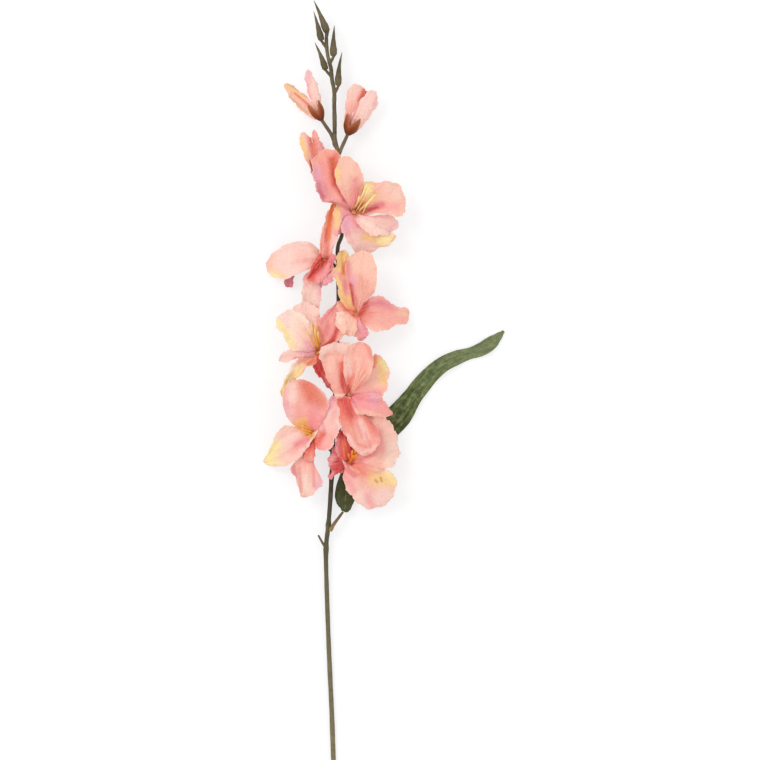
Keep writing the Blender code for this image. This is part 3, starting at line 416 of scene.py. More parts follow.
            ("coral", -2, -28, 6, -50, 4, 0.5), ("rose", 8, -27, 14, -48, 2, 0.7),
            ("pale", 12, -31, 20, -50, 3.4, 0.7), ("rose", 25, -32, 31, -46, 2.4, 0.6),
            ("peach", 4, -40, 12, -56, 4, 0.5), ("rose", 9, -57, 24, -63, 1.6, 0.6),
            ("pale", -2, -48, 11, -66, 2.4, 0.8), ("pale", 14, -69, 30, -60, 2.6, 0.8),
            ("rose", 18, -44, 24, -60, 1.4, 0.5)),
            ((8, -26, 14, -50, 1.8, -1.6), (24, -32, 30, -52, 1.8, -1.4), (7, -56, 25, -63, 2.0, -1.4),
            (-4, -12, 2, -28, 2.0, 1.4), (0, -34, 6, -52, 1.6, 1.2), (16, -38, 22, -60, 1.6, -1.2)), cup=12,
            pleats=1.2, ragged=0.8, ruffle=1.8, hem=60, streak=0.5),
        # Its coral and red strokes down its valley are painted shade in the fold.
        Petal("left", (-18, 47, 14), ((-9, -5), (-16, -5), (-19, 4), (-24, 14), (-30, 30), (-28, 42)),
            ((-2, 8), (-4, 28), (-6, 45)), "coral salmon salmon salmon",
            (("peach", -20, 40, -24, 24, 4, 0.7), ("coral", -8, 34, -8, 10, 3.5, 1.0),
            ("red", -7, 20, -5, 4, 3.2, 1.0), ("pale", -16, -1, -3, -2, 2, 1.0)),
            ((-8, 34, -6, 8, 2.4, -2.0), (-17, 40, -13, 10, 3.0, 1.2))),
        Petal("lower_right", (50, -22, -4), ((12, 1), (28, 2), (38, -4), (44, -15)),
            ((1, -9), (8, -22), (22, -24), (38, -26)), "rose pink pink salmon",
            (("lilac", 28, -1, 27, -8, 5, 0.9), ("rose", 3, -6, 11, -5, 4, 0.8),
            ("peach", 7, -19, 32, -24, 3, 0.8), ("rose", 14, -3, 22, -2, 1.6, 0.6)),
            ((4, -8, 36, -12, 3.0, -1.4),)),
        Petal("top", (14, 60, 14), ((-4, 10), (-7, 26), (-6, 44), (0, 56)),
            ((10, 6), (22, 18), (27, 36), (24, 53)), "coral salmon peach salmon",
            (("brick", 20, 57, 26, 42, 3.5, 0.6), ("coral", -1, 7, 3, 22, 2.6, 0.7),
            ("pale", -3, 38, 0, 24, 3.5, 0.8), ("salmon", 14, 52, 18, 30, 5, 0.6),
            ("rose", 6, 36, 4, 20, 1.6, 0.4), ("blood", -2, 9, -1, 4, 1.6, 0.8)),
            ((6, 50, 3, 14, 2.0, -1.6), (14, 40, 6, 12, 2.0, 1.2)), ragged=0.3, pleats=0.9),
    ], stamens=((16, 30, 20), (12, 33, 22), (19, 24, 20), (9, 27, 22)), pollen=("peach", "peach"),
       anther=0.8, throat=("red", -3, 4, -1, 3, 3, 0.6)),
)

# What the petals of the opening buds have in common
LOBE = {
    "rise": 0.3, "curl": 2.0, "cup": -38.0, "ruffle": 0.3, "pleats": 0.4, "ragged": 0.7, "streak": 0.3,
    "crumple": 0.4,
}
BUDS = (
    Bud("bud_left", (-9.2, 760.2, 17.0), (-0.45, 0.89, 0.0), 8.0,
        ((5.6, 733.0, 16.0), (1.3, 744.4, 16.6), (-4.4, 753.2, 17.0), (-8.8, 759.8, 17.0)), [
            Petal("right", (-16, 59, 8), ((-9, 10), (-15, 28), (-18, 41), (-19.5, 51)),
                ((0, 14), (-2.6, 32), (-9, 49)), "peach pale pale pale",
                (("lilac", -17, 44, -15, 54, 4, 0.6), ("pink", -17, 40, -14, 26, 2.5, 0.7)), **LOBE),
            Petal("left", (-44, 40, 8), ((-13, 3), (-24, 11.5), (-35.5, 24.5)),
                ((-9, 17), (-17, 27), (-29, 36), (-38, 42.5)), "salmon peach peach peach",
                (("gold", -41, 40, -22, 26, 2.4, 0.8), ("umber", -38, 42, -18, 28, 1.2, 0.5),
                ("coral", -12, 15, -31, 31, 1.2, 0.8), ("umber", -38, 28, -16, 8, 1.4, 0.5)),
                ((-10, 12, -34, 30, 2.0, -2.0),), **LOBE),
        ]),
    Bud("bud_right", (20.1, 743.6, 18.0), (0.40, 0.90, 0.0), 9.4,
        ((9.6, 717.0, 16.0), (12.7, 727.0, 16.8), (17.0, 736.5, 17.6), (19.9, 743.0, 18.0)), [
            Petal("back", (22, 51, -6), ((4, 20), (12, 45)), ((14, 16), (25, 40)),
                "coral salmon coral coral", **LOBE),
            Petal("left", (7, 58, 8), ((-4, 12), (-2, 34), (0, 49)),
                ((6, 14), (14, 34), (20, 48), (16, 56)), "salmon pink peach pale",
                (("coral", 20, 51, 15, 40, 3.5, 1.0), ("salmon", 6, 22, 6, 34, 4, 0.6)), **LOBE),
            Petal("right", (28, 51, 11), ((4, 13), (6, 24), (14, 38), (21, 47)),
                ((15, 7), (25, 20), (35, 36), (33, 48)), "salmon pale pale pale",
                (("lilac", 30, 34, 34, 42, 2, 0.5), ("rose", 5, 16, 13, 36, 1.2, 0.8)), **LOBE),
        ]),
    Bud("bud_low", (-15.4, 696.0, 13.0), (-0.20, 0.97, 0.0), 4.4,
        ((12.2, 676.0, 15.4), (3.0, 682.0, 14.4), (-8.0, 688.0, 13.6), (-15.2, 695.4, 13.0)), [
            Petal("back", (6, 35, -6), ((-4, 12), (0, 26)), ((8, 10), (9, 24)), "coral coral coral coral",
                **LOBE),
            Petal("left", (-15, 51, 7), ((-7, 9), (-14, 23), (-18, 36), (-20, 44)),
                ((2, 10), (-2, 30), (-6.5, 43)), "coral salmon peach peach",
                (("gold", -18, 42, -12, 24, 2.6, 1.0), ("coral", -8, 44, -5, 30, 3, 0.6)), **LOBE),
            Petal("right", (-3, 54, 9), ((-3, 12), (-5, 30), (-5, 43)), ((8, 8), (9.3, 28), (4.3, 42)),
                "coral salmon salmon salmon",
                (("pink", 4, 42, 6, 30, 3, 0.7), ("coral", -4, 40, -2, 20, 3, 0.8)), **LOBE),
        ]),
)
BUD_SEAT = 5.0  # height above a bud's foot at which its petals start
BUD_SEAT_RADIUS = 3.2
TWIG_RADIUS = 2.1
TWIG_PLUG = 3.0  # how far a twig goes into its calyx
CALYX_CLOTH = 0.4
CALYX_RINGS, CALYX_SIDES = 16, 60
CALYX_SHOULDER = 13.0  # height at which a calyx has its full radius
TEETH = 4
TOOTH = 14.0
NOTCH = 9.0  # height of a calyx between two teeth

# Main stem, from its cut end to the joint below the closed buds
STEM_ROUTE = (
    (4.8, 0.0, 2.8), (2.2, 76.0, 2.9), (-1.2, 152.0, 3.8), (-4.0, 232.0, 6.0),
    (-4.4, 270.0, 7.8), (-1.6, 298.0, 9.4), (1.6, 345.0, 11.5), (5.8, 445.0, 14.0),
    (9.6, 540.0, 15.0), (8.8, 596.0, 15.0), (9.3, 616.0, 15.1), (14.2, 633.0, 15.2), (12.0, 672.0, 15.6),
    (9.0, 722.0, 16.0), (5.9, 734.0, 16.0), (5.3, 746.0, 16.1),
)
STEM_RADII = (2.8, 2.8, 2.7, 2.6, 2.7, 2.6, 2.6, 2.4, 2.3, 2.2, 2.3, 2.2, 2.3, 2.4, 2.6, 2.4)
STEM_KNOTS = (268.0, 296.0, 676.0, 717.0, 734.0)  # Y of its joints with the peg, the leaf and the twigs
KNOT_SWELL, KNOT_LENGTH = 0.7, 4.0
BARE_PEG = ((-4.2, 268.0, 8.0), (-9.0, 276.0, 9.0), (-13.4, 284.0, 10.0))
PEG_RADII = (1.7, 1.1)  # at its foot and at its end

SPIKE_ROUTE = (
    (5.5, 745.0, 16.1), (5.4, 762.0, 16.4), (5.0, 778.0, 16.6), (5.0, 793.0, 16.9),
    (2.3, 808.0, 17.2), (1.2, 820.0, 17.4), (-2.3, 834.0, 17.8), (-3.9, 847.0, 18.0),
    (-3.9, 861.0, 18.2),
)
SPIKE_RADII = (2.5, 2.5, 2.4, 2.4, 2.3, 2.3, 2.1, 2.2, 1.9)
# Closed buds: joint on the spike, root, tip, width and how far they sway to the right
CLOSED_BUDS = (
    ((-3.9, 855.0, 18.2), (-2.8, 860.5, 18.3), (-18.4, 897.8, 19.5), 8.4, 0.4),
    ((-3.8, 843.0, 18.0), (-9.4, 851.0, 18.8), (-18.6, 885.4, 18.0), 7.8, 0.2),
    ((-0.2, 824.5, 17.6), (4.2, 833.4, 19.0), (5.2, 869.0, 20.5), 8.4, -0.6),
    ((1.4, 810.5, 17.3), (-4.6, 817.6, 17.0), (-17.4, 849.9, 14.0), 7.6, 0.8),
    ((5.2, 790.5, 16.9), (9.6, 799.4, 18.4), (14.0, 838.6, 17.0), 7.8, -1.4),
)
# Along a closed bud: share of its length and of its greatest width
CLOSED_SHAPE = (
    (0.0, 0.40), (0.05, 0.86), (0.11, 1.0), (0.22, 0.95), (0.42, 0.72), (0.64, 0.46), (0.85, 0.22),
    (1.0, 0.05),
)

LEAF_ROUTE = (
    (15.4, 311.4, 8.6), (17.4, 316.4, 7.4), (18.4, 331.0, 5.0), (27.4, 354.0, 2.6), (44.0, 382.0, 1.6),
    (64.2, 406.7, 1.4), (80.6, 422.7, 1.6), (94.4, 442.2, 2.2), (102.8, 454.0, 2.6),
    (116.5, 469.0, 3.2), (131.0, 481.0, 3.4), (145.5, 488.0, 3.2), (160.0, 492.5, 2.6),
    (172.8, 497.2, 2.0), (186.6, 506.0, 1.4), (200.0, 518.5, 1.0),
)
LEAF_WIDTHS = (6.0, 15.0, 26.5, 28.5, 29.5, 30.0, 28.5, 22.5, 21.5, 19.5, 18.0, 16.5, 13.5, 15.5, 14.5, 3.0)
LEAF_ROWS, LEAF_COLUMNS = 150, 25
LEAF_STALK_ROUTE = ((0.2, 289.0, 11.6), (3.8, 295.6, 12.2), (8.6, 302.2, 11.4), (15.0, 310.8, 8.9))
LEAF_STALK_RADII = (1.8, 2.0, 1.8, 1.4)

STALK_RADIUS = 1.8  # of a bloom's stalk
STALK_STEPS = 12
CUP_LENGTH = 12.0  # from a bloom's middle down to its stalk
CUP_SIDES = 28
FLUTES, FLUTE_DEPTH = 6, 0.05
# A bloom's cup: height above the bloom's middle and radius, up its outside and down its inside
CUP_PROFILE = (
    (-12.0, 1.7), (-9.5, 2.3), (-7.0, 3.2), (-4.5, 4.1), (-2.2, 4.6), (-0.8, 4.7),
    (-0.5, 4.3), (-1.6, 3.4), (-3.2, 2.2), (-4.0, 0.6),
)

# Stamens
SHAFT_STEPS = 14  # along one stalk
ANTHER_SHAPE = (0.5, 0.8, 0.96, 1.0, 1.0, 0.9, 0.65, 0.3)  # width along a tip, as shares of its radius
STAMEN_SIDES = 8
STAMEN_GAP = 1.2  # between a stamen and the petal under it
STAMEN_DEEPEST = 16.0  # a point further than this below the petals passes under them
# The button that they stand on: height and radius
BUTTON_PROFILE = ((-3.0, 3.0), (-1.0, 3.4), (0.6, 3.2), (1.6, 2.0), (2.0, 0.4))

# Studio
FLOOR = 6.0  # half its width, in metres
CAMERA_HEIGHT = 8.0  # in metres
VIEW_WIDTH = 874.0
VIEW_MIDDLE = (57.5, 462.3, 0)


def unit(vector):
    vector = Vector(vector)
    return vector / vector.length


def smooth(value):
    value = np.clip(value, 0.0, 1.0)
    return value * value * (3 - 2 * value)


def bezier(p0, p1, p2, p3, u):
    """Points on the curve and its unit tangents, for an array of places along it."""
    p0, p1, p2, p3 = (np.array(point) for point in (p0, p1, p2, p3))
    u = np.asarray(u)[..., None]
    v = 1 - u
    points = v**3 * p0 + 3 * v * v * u * p1 + 3 * v * u * u * p2 + u**3 * p3
    slopes = 3 * v * v * (p1 - p0) + 6 * v * u * (p2 - p1) + 3 * u * u * (p3 - p2)
    return points, slopes / np.linalg.norm(slopes, axis=-1, keepdims=True)


def smooth_route(points, per_span):
    """Points on a smooth curve through the given points (Catmull-Rom)."""
    points = [Vector(point) for point in points]
    ends = [2 * points[0] - points[1], *points, 2 * points[-1] - points[-2]]
    route = []
    for before, start, end, after in zip(ends, ends[1:], ends[2:], ends[3:]):
        for step in range(per_span):
            u = step / per_span
            route.append(0.5 * (
                2 * start
                + (end - before) * u
                + (2 * before - 5 * start + 4 * end - after) * u * u
                + (3 * start - before - 3 * end + after) * u**3
            ))
    route.append(points[-1])
    return route


def smooth_values(values, per_span):
    return [point.x for point in smooth_route([(value, 0, 0) for value in values], per_span)]


def cross_axes(axis):
    """Two directions square to the axis."""
    axis = unit(axis)
    side = Vector((0, 1, 0)).cross(axis).normalized()
    return side, axis.cross(side)


def on_circle(centre, side, up, radius, turn):
    return centre + radius * (math.cos(turn) * side + math.sin(turn) * up)


def new_piece(name, mesh, places, stuff, replaced):
    """A smooth piece that stands for CAD nodes.

    Its mesh is in millimetres from the stem's cut end, and its places are what its material reads.
    """
    vertices, faces = mesh
    data = bpy.data.meshes.new(name)
    data.from_pydata([ORIGIN + Vector(vertex) * MM for vertex in vertices], [], faces)
    data.validate()
    layer = data.attributes.new("place", "FLOAT_VECTOR", "POINT")
    layer.data.foreach_set("vector", np.asarray(places, dtype=np.float32).ravel())
    data.shade_smooth()
    data.materials.append(stuff)
    piece = bpy.data.objects.new(name, data)
    bpy.context.scene.collection.objects.link(piece)
    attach(piece, "root")
    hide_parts(*replaced)
    return piece


def thicken(piece, thickness):
    modifier = piece.modifiers.new("thickness", "SOLIDIFY")
    modifier.thickness = thickness * MM
    modifier.offset = 0.0


def grid_faces(rows, columns):
    return [
        (row * columns + column, row * columns + column + 1,
         (row + 1) * columns + column + 1, (row + 1) * columns + column)
        for row in range(rows - 1)
        for column in range(columns - 1)
    ]


def ring_faces(rings, sides, open_end=False):
    """The faces between rings of points, with a cap at the start and, unless it is open, at the end."""
    faces = [
        (ring * sides + corner, ring * sides + (corner + 1) % sides,
         (ring + 1) * sides + (corner + 1) % sides, (ring + 1) * sides + corner)
        for ring in range(rings - 1)
        for corner in range(sides)
    ]
    faces.append(tuple(reversed(range(sides))))
    if not open_end:
        faces.append(tuple(range((rings - 1) * sides, rings * sides)))
    return faces


def tube_mesh(points, radii, sides, bumps=0.0):
    """Vertices and faces of a closed tube whose rings stay square to its route."""
    points = [Vector(point) for point in points]
    tangents = [unit(b - a) for a, b in zip(points, points[1:])]
    tangents = [tangents[0]] + [unit(a + b) for a, b in zip(tangents, tangents[1:])] + [tangents[-1]]
    side = tangents[0].orthogonal().normalized()
    vertices = []
    for index, (point, radius) in enumerate(zip(points, radii)):
        if index:
            side = tangents[index - 1].rotation_difference(tangents[index]) @ side
        up = tangents[index].cross(side)
        for corner in range(sides):
            turn = 2 * math.pi * corner / sides
            bump = bumps * math.sin(3 * turn + 0.9 * index) * math.sin(0.37 * index + turn)
            vertices.append(on_circle(point, side, up, float(radius) * (1 + bump), turn))
    return vertices, ring_faces(len(points), sides)


def merged(meshes):
    """Several (vertices, faces) meshes as one."""
    vertices, faces = [], []
    for points, polygons in meshes:
        start = len(vertices)
        vertices += [tuple(point) for point in points]
        faces += [tuple(start + corner for corner in polygon) for polygon in polygons]
    return vertices, faces


def tree_of(meshes):
    return BVHTree.FromPolygons(*merged(meshes))


# Petals


def seat_angles(bloom):
    """One angle for each petal's root: towards its tip, but pushed apart to leave each its own room."""
    side, up = cross_axes(bloom.axis)
    tips = [Vector(petal.tip) for petal in bloom.petals]
    turns = [math.atan2(tip.dot(up), tip.dot(side)) % (2 * math.pi) for tip in tips]
    order = sorted(range(len(turns)), key=turns.__getitem__)
    apart = SEAT_SPREAD * 2 * math.pi / len(turns)
    for _ in range(SEAT_ROUNDS):
        for before, after in zip(order, order[1:] + order[:1]):
            wrap = 2 * math.pi if after == order[0] else 0.0
            short = apart - (turns[after] + wrap - turns[before])
            if short > 0:
                turns[before] -= short / 2
                turns[after] += short / 2
    return turns


def section(petal, s, t):
    """Across a petal: how far out and how far up each place is, as shares of its half width as seen."""
    path = np.linspace(0, 1, SECTION_STEPS + 1)[:-1] + 0.5 / SECTION_STEPS
    sides = s[None] * path.reshape(-1, *[1] * s.ndim)
    turn = math.radians(petal.cup) * sides
    turn += math.radians(petal.hem) * smooth((sides - HEM_START) / HEM_WIDTH)
    turn *= smooth(t / 0.3)
    out, lift = s * np.cos(turn).mean(0), s * np.sin(turn).mean(0)
    widest = np.where(s > 0, out.max(1, keepdims=True), -out.min(1, keepdims=True))
    return out / widest, lift / widest


def evenly(line, count, share=1.0):
    """Places at even distances along the first share of a line, and its whole length."""
    along = np.concatenate([[0], np.cumsum(np.linalg.norm(np.diff(line, axis=0), axis=1))])
    wanted = np.linspace(0, share * along[-1], count)
    return np.stack([np.interp(wanted, along, line[:, axis]) for axis in (0, 1)], -1), along[-1]


def edge_lines(petal, root, claw):
    """A petal's two edges, each from its root to its tip, and the tip: one soft outline, in halves."""
    points = [(root + claw).xy, *petal.left, petal.tip[:2], *petal.right[::-1], (root - claw).xy]
    route = smooth_route([(*point, 0) for point in points], 12)
    line, _ = evenly(np.array([point.to_tuple() for point in route])[:, :2], OUTLINE_PLACES)
    for _ in range(OUTLINE_ROUNDS):
        line[1:-1] = (line[:-2] + 2 * line[1:-1] + line[2:]) / 4
    top = np.linalg.norm(line - petal.tip[:2], axis=1).argmin()
    return evenly(line[:top + 1], ROWS, 1 - TIP_GAP), evenly(line[:top - 1:-1], ROWS, 1 - TIP_GAP), line[top]


def beside(points, start, end):
    """How far each point is from the line from start to end."""
    start, line = np.array(start), np.subtract(end, start)
    share = np.clip((points - start) @ line / (line @ line), 0, 1)[..., None]
    return np.linalg.norm(points - start - share * line, axis=-1)


def dents(across, along, phase):
    """Soft dents a few millimetres wide, longer than wide, from -1 to 1."""
    heights = np.empty(across.shape)
    for index in np.ndindex(across.shape):
        place = Vector((across[index] / DENT_WIDTH, along[index] / DENT_LENGTH, 7.3 * phase))
        heights[index] = noise.noise(place) + 0.5 * noise.noise(2.3 * place)
    return heights


def scallops(turns, on_left, phase):
    """How far an edge stands out, a given way along it: wide and small scallops, and bursts of frays."""
    wide, small, fray = (turns / pitch for pitch in SCALLOP_PITCHES)
    side = 2.1 * on_left
    out = np.sin(wide + 4 * phase + side) + 0.6 * np.sin(small + 2 * phase + 2 * side)
    return out + 0.35 * np.sin(fray + 7 * phase + side) * (1 + np.sin(turns / FRAY_BURSTS + 3 * phase))


def relief_of(petal, s, t, half, length, phase):
    """How far each place stands out of a petal's section: ruffles, pleats, a groove along it and dents."""
    on_left = s > 0
    wave = np.sin(2 * math.pi * petal.waves * t + phase + 1.7 * on_left)
    wave += 0.6 * np.sin(2 * math.pi * 2.3 * petal.waves * t + 3 * phase + 0.9 * on_left)
    relief = petal.ruffle * wave * abs(s) ** 2.5 * smooth((t - 0.1) / 0.3)
    pleat = np.sin(7.1 * s + 2 * phase) + 0.6 * np.sin(13.3 * s + 5 * phase + 0.9 * t)
    relief += petal.pleats * pleat * smooth(t / 0.35) * (1 - 0.5 * t)
    relief += 0.5 * np.sin(5.1 * t + 2.4 * s + phase) * smooth(t / 0.4)
    relief -= 0.8 * np.exp(-((s / 0.12) ** 2)) * smooth(t / 0.2) * (1 - 0.7 * t)
    return relief + petal.crumple * dents(s * half, t * length, phase) * smooth(t / 0.3)


def petal_surface(base, axis, petal, angle, phase, seat_radius=SEAT_RADIUS, seat_height=0.0):
    """The middle surface of a petal, and the share of its width and length at each of its points."""
    axis, tip = unit(axis), Vector(petal.tip)
    root = on_circle(seat_height * axis, *cross_axes(axis), seat_radius, angle)
    chord = tip - root
    length = chord.length
    back = (axis - axis.dot(chord) / length**2 * chord).normalized()
    curl = math.radians(petal.curl)
    ending = chord / length * math.cos(curl) - back * math.sin(curl)
    across = Vector((-chord.y, chord.x, 0)).normalized()
    (left, left_length), (right, right_length), end = edge_lines(petal, root, CLAW_WIDTH / 2 * across)
    tip.xy = end
    t, turn = np.meshgrid(np.linspace(0, 1, ROWS), np.linspace(-1, 1, COLUMNS), indexing="ij")
    s = np.sin(math.pi / 2 * turn)
    on_left = s > 0
    rising, falling = root + petal.rise * length * axis, tip - TIP_HANDLE * length * ending
    spine, tangents = bezier(root, rising, falling, tip, t)
    if petal.bent:
        spine[..., :2] = (left[:, None] + right[:, None]) / 2
    reach = np.where(on_left[..., None], left[:, None], right[:, None]) - spine[..., :2]
    half = np.linalg.norm(reach, axis=-1, keepdims=True)
    turns = 2 * math.pi * t * np.where(on_left, left_length, right_length)
    scallop = scallops(turns, on_left, phase) * (petal.ragged * smooth((t - 0.15) / 0.3) * abs(s) ** 3)
    out, lift = section(petal, s, t)
    flat = spine[..., :2] + reach * abs(out)[..., None] + reach / np.maximum(half, 1) * scallop[..., None]
    half = half[..., 0]
    roll = math.tan(math.radians(petal.roll))
    height = spine[..., 2] + half * (lift + s * roll * smooth((t - 0.05) / 0.4))
    for x0, y0, x1, y1, width, depth in petal.creases:
        height += depth * np.exp(-((beside(flat, (x0, y0), (x1, y1)) / width) ** 2)) * smooth(t / 0.12)
    square = np.array(across) - (tangents @ np.array(across))[..., None] * tangents
    face = np.cross(tangents, square / np.linalg.norm(square, axis=-1, keepdims=True))
    relief = relief_of(petal, s, t, half, length, phase)
    points = np.concatenate([flat, height[..., None]], -1) + relief[..., None] * face
    return np.array(base) + points, np.stack([s, t, 0 * t], -1)


def drape(surface, tree, clearance):
    """Lifts a surface over what lies in the tree, with soft slopes round each place it touches."""
    lift = np.zeros(surface.shape[:2])
    for index in np.ndindex(lift.shape):
        point = Vector(surface[index])
        hit, normal, _, _ = tree.ray_cast(point + REACH * UP, -UP, 2 * REACH)
        if hit is None:
            continue
        needed = (hit - point).dot(UP) + clearance / max(abs(normal.dot(UP)), STEEPEST)
        lift[index] = needed if 0 < needed < DEEPEST else 0.0
    for _ in range(DRAPE_ROUNDS):
        padded = np.pad(lift, 1, mode="edge")
        mean = (padded[:-2, 1:-1] + padded[2:, 1:-1] + padded[1:-1, :-2] + padded[1:-1, 2:]) / 4
        lift = np.maximum(lift, DRAPE_SLOPE * mean)
    free = smooth((np.linspace(0, 1, len(lift)) - 0.02) / 0.08)
    return surface + (lift * free[:, None])[..., None] * np.array(UP)


# Materials


def linear(colour):
    """A dye, or an sRGB colour from 0 to 255, as the linear colour that a shader takes."""
    shares = [part / 255 for part in DYES.get(colour, colour)]
    return (*(part / 12.92 if part <= 0.04045 else ((part + 0.055) / 1.055) ** 2.4 for part in shares), 1.0)


def grey(value):
    return (value, value, value, 1.0)


class Shader:
    """A material's node tree, with short calls for the nodes that its pattern takes."""

    def __init__(self, name, roughness, **settings):
        self.material = bpy.data.materials.new(name)
        self.material.use_nodes = True
        self.tree = self.material.node_tree
        self.surface = self.tree.nodes["Principled BSDF"]
        self.surface.inputs["Roughness"].default_value = roughness
        for key, value in settings.items():
            self.surface.inputs[key.replace("_", " ")].default_value = value

    def give(self, socket, value):
        if isinstance(value, bpy.types.NodeSocket):
            self.tree.links.new(value, socket)
        else:
            socket.default_value = value

    def node(self, kind, inputs, **properties):
        made = self.tree.nodes.new(kind)
        for key, value in properties.items():
            setattr(made, key, value)
        for key, value in inputs.items():
            self.give(made.inputs[key], value)
        return made

    def math(self, operation, first, second=0.0, third=0.0):
        return self.node("ShaderNodeMath", {0: first, 1: second, 2: third}, operation=operation).outputs[0]

    def times(self, first, second):
        return self.math("MULTIPLY", first, second)

    def centred(self, value, spread):
        """A value from 0 to 1, carried to half the spread below and above 0."""
        return self.math("MULTIPLY_ADD", value, spread, -spread / 2)

    def vectors(self, operation, inputs, output="Vector"):
        return self.node("ShaderNodeVectorMath", inputs, operation=operation).outputs[output]

    def ramp(self, value, low, high, start=0.0, end=1.0):
        """The value, carried smoothly from start to end as it goes from low to high."""
        inputs = {"Value": value, "From Min": low, "From Max": high, "To Min": start, "To Max": end}
        return self.node("ShaderNodeMapRange", inputs, interpolation_type="SMOOTHSTEP").outputs[0]

    def mix(self, factor, first, second):
        made = self.node("ShaderNodeMix", {"Factor": factor}, data_type="RGBA")
        self.give(made.inputs[6], first)
        self.give(made.inputs[7], second)
        return made.outputs[2]

    def noise(self, vector, scale, detail=2.0):
        inputs = {"Vector": vector, "Scale": scale, "Detail": detail}
        return self.node("ShaderNodeTexNoise", inputs).outputs["Fac"]

    def parts(self, vector):
        return self.node("ShaderNodeSeparateXYZ", {0: vector}).outputs

    def places(self):
        """The share of the width and of the length at a point of a sheet."""
        parts = self.parts(self.node("ShaderNodeAttribute", {}, attribute_name="place").outputs["Vector"])
        return parts[0], parts[1]

    def space(self):
        return self.node("ShaderNodeTexCoord", {}).outputs["Object"]

    def stretched(self, x, y, z=0.0):
        return self.node("ShaderNodeCombineXYZ", {0: x, 1: y, 2: z}).outputs[0]

    def colours(self, value, stops):
        """A colour ramp with a stop for each (place, colour)."""
        made = self.node("ShaderNodeValToRGB", {0: value})
        made.color_ramp.interpolation = "B_SPLINE"
        elements = made.color_ramp.elements
        while len(elements) < len(stops):
            elements.new(0.5)
        for element, (place, colour) in zip(elements, stops):
            element.position = place
            element.color = linear(colour)
        return made.outputs[0]

    def stroke_distance(self, places, start, end):
        """How far a point is from the line from start to end, in millimetres, as seen from above."""
        start, line = Vector((*start, 0)), Vector((*end, 0)) - Vector((*start, 0))
        apart = self.vectors("SUBTRACT", {0: places, 1: start})
        share = self.vectors("DOT_PRODUCT", {0: apart, 1: line / line.length_squared}, "Value")
        share = self.node("ShaderNodeClamp", {0: share}).outputs[0]
        near = self.vectors("SCALE", {0: line, "Scale": share})
        return self.vectors("DISTANCE", {0: apart, 1: near}, "Value")

    def bump(self, height, strength, distance, **under):
        """Bumps of a depth in millimetres, on top of the normal under them."""
        inputs = {"Height": height, "Strength": strength, "Distance": distance * MM, **under}
        return self.node("ShaderNodeBump", inputs).outputs[0]

    def weave(self, space, pitch, strength, threads):
        """Threads that cross at a pitch in millimetres, and creases a few millimetres wide, as bumps."""
        parts = self.parts(space)
        turns = 2 * math.pi / (pitch * MM)
        warp = self.math("SINE", self.times(parts[0], turns))
        weft = self.math("SINE", self.times(parts[1], turns))
        cloth = self.bump(self.math("MULTIPLY_ADD", warp, weft, threads), strength, 0.1)
        return self.bump(self.noise(space, 300.0, 4.0), CRINKLE, 4.0, Normal=cloth)

    def finish(self, colour, normal=None):
        self.give(self.surface.inputs["Base Color"], colour)
        if normal is not None:
            self.give(self.surface.inputs["Normal"], normal)
        return self.material


def petal_cloth(name, base, petal, seed, throat=()):
    """Dyed cloth: a wash from root to tip, brush strokes of other dyes, some of them painted shade and
    painted highlights, veins, painted shade down its middle, a rim partly painted as a highlight, and a fine
    weave.
    """
    shader = Shader(name, 0.72, Sheen_Weight=0.12, Sheen_Roughness=0.5, Specular_IOR_Level=0.25)
    s, t = shader.places()
    space = shader.space()
    dyes = petal.dye.split()
    cloud = shader.noise(shader.stretched(shader.times(s, 1.4), t, seed), 2.2, 3.0)
    wash = shader.math("ADD", t, shader.centred(cloud, WASH_DRIFT))
    colour = shader.colours(wash, tuple(zip(WASH_STOPS, dyes)))

    middle = -(ORIGIN / MM + Vector(base))
    flat = shader.vectors("MULTIPLY_ADD", {0: space, 1: (1 / MM, 1 / MM, 0), 2: (middle.x, middle.y, 0)})
    uneven = shader.centred(shader.noise(flat, 0.2, 3.0), STROKE_WANDER)
    # Strokes of dye; some are painted shade in folds and painted highlights on ridges and rims.
    for key, x0, y0, x1, y1, radius, strength in (*petal.strokes, *throat):
        apart = shader.stroke_distance(flat, (x0, y0), (x1, y1))
        apart = shader.math("MULTIPLY_ADD", apart, 1 / radius, uneven)
        colour = shader.mix(shader.ramp(apart, *STROKE_EDGE, 0.0, strength), colour, linear(key))

    fine = shader.noise(shader.stretched(shader.times(s, 15.0), shader.times(t, 1.3), seed), 1.0, 3.0)
    veins = shader.times(shader.ramp(fine, 0.50, 0.66), shader.ramp(t, 0.75, 0.1, 0.1, petal.streak * 2.4))
    colour = shader.mix(veins, colour, linear(dyes[1]))
    # Painted shade along the groove down the petal's middle, in its root dye, fading towards the tip.
    near = shader.math("ABSOLUTE", shader.math("ADD", s, shader.centred(cloud, 0.12)))
    midrib = shader.times(shader.ramp(near, 0.06, 0.0), shader.ramp(t, 0.75, 0.15, 0.0, 0.5))
    colour = shader.mix(midrib, colour, linear(dyes[0]))
    # Rim dye along the cut edge and the tip: partly the edge's own colour, partly a painted highlight along
    # it.
    width = shader.times(shader.math("ABSOLUTE", s), shader.ramp(t, 0.1, 0.3))
    edge = shader.math("MAXIMUM", shader.ramp(width, 0.93, 1.0), shader.ramp(t, 0.97, 1.0))
    colour = shader.mix(shader.times(edge, CUT_EDGE_AND_HIGHLIGHT_STRENGTH), colour, linear(petal.rim))
    speckle = shader.noise(flat, 0.6, 4.0)
    colour = shader.mix(shader.ramp(speckle, 0.5, 0.7, 0.0, 0.26), colour, linear("rose"))
    colour = shader.mix(shader.ramp(speckle, 0.5, 0.3, 0.0, 0.18), colour, linear("cream"))
    return shader.finish(colour, shader.weave(space, PETAL_THREAD, 0.12, shader.times(fine, 3.0)))


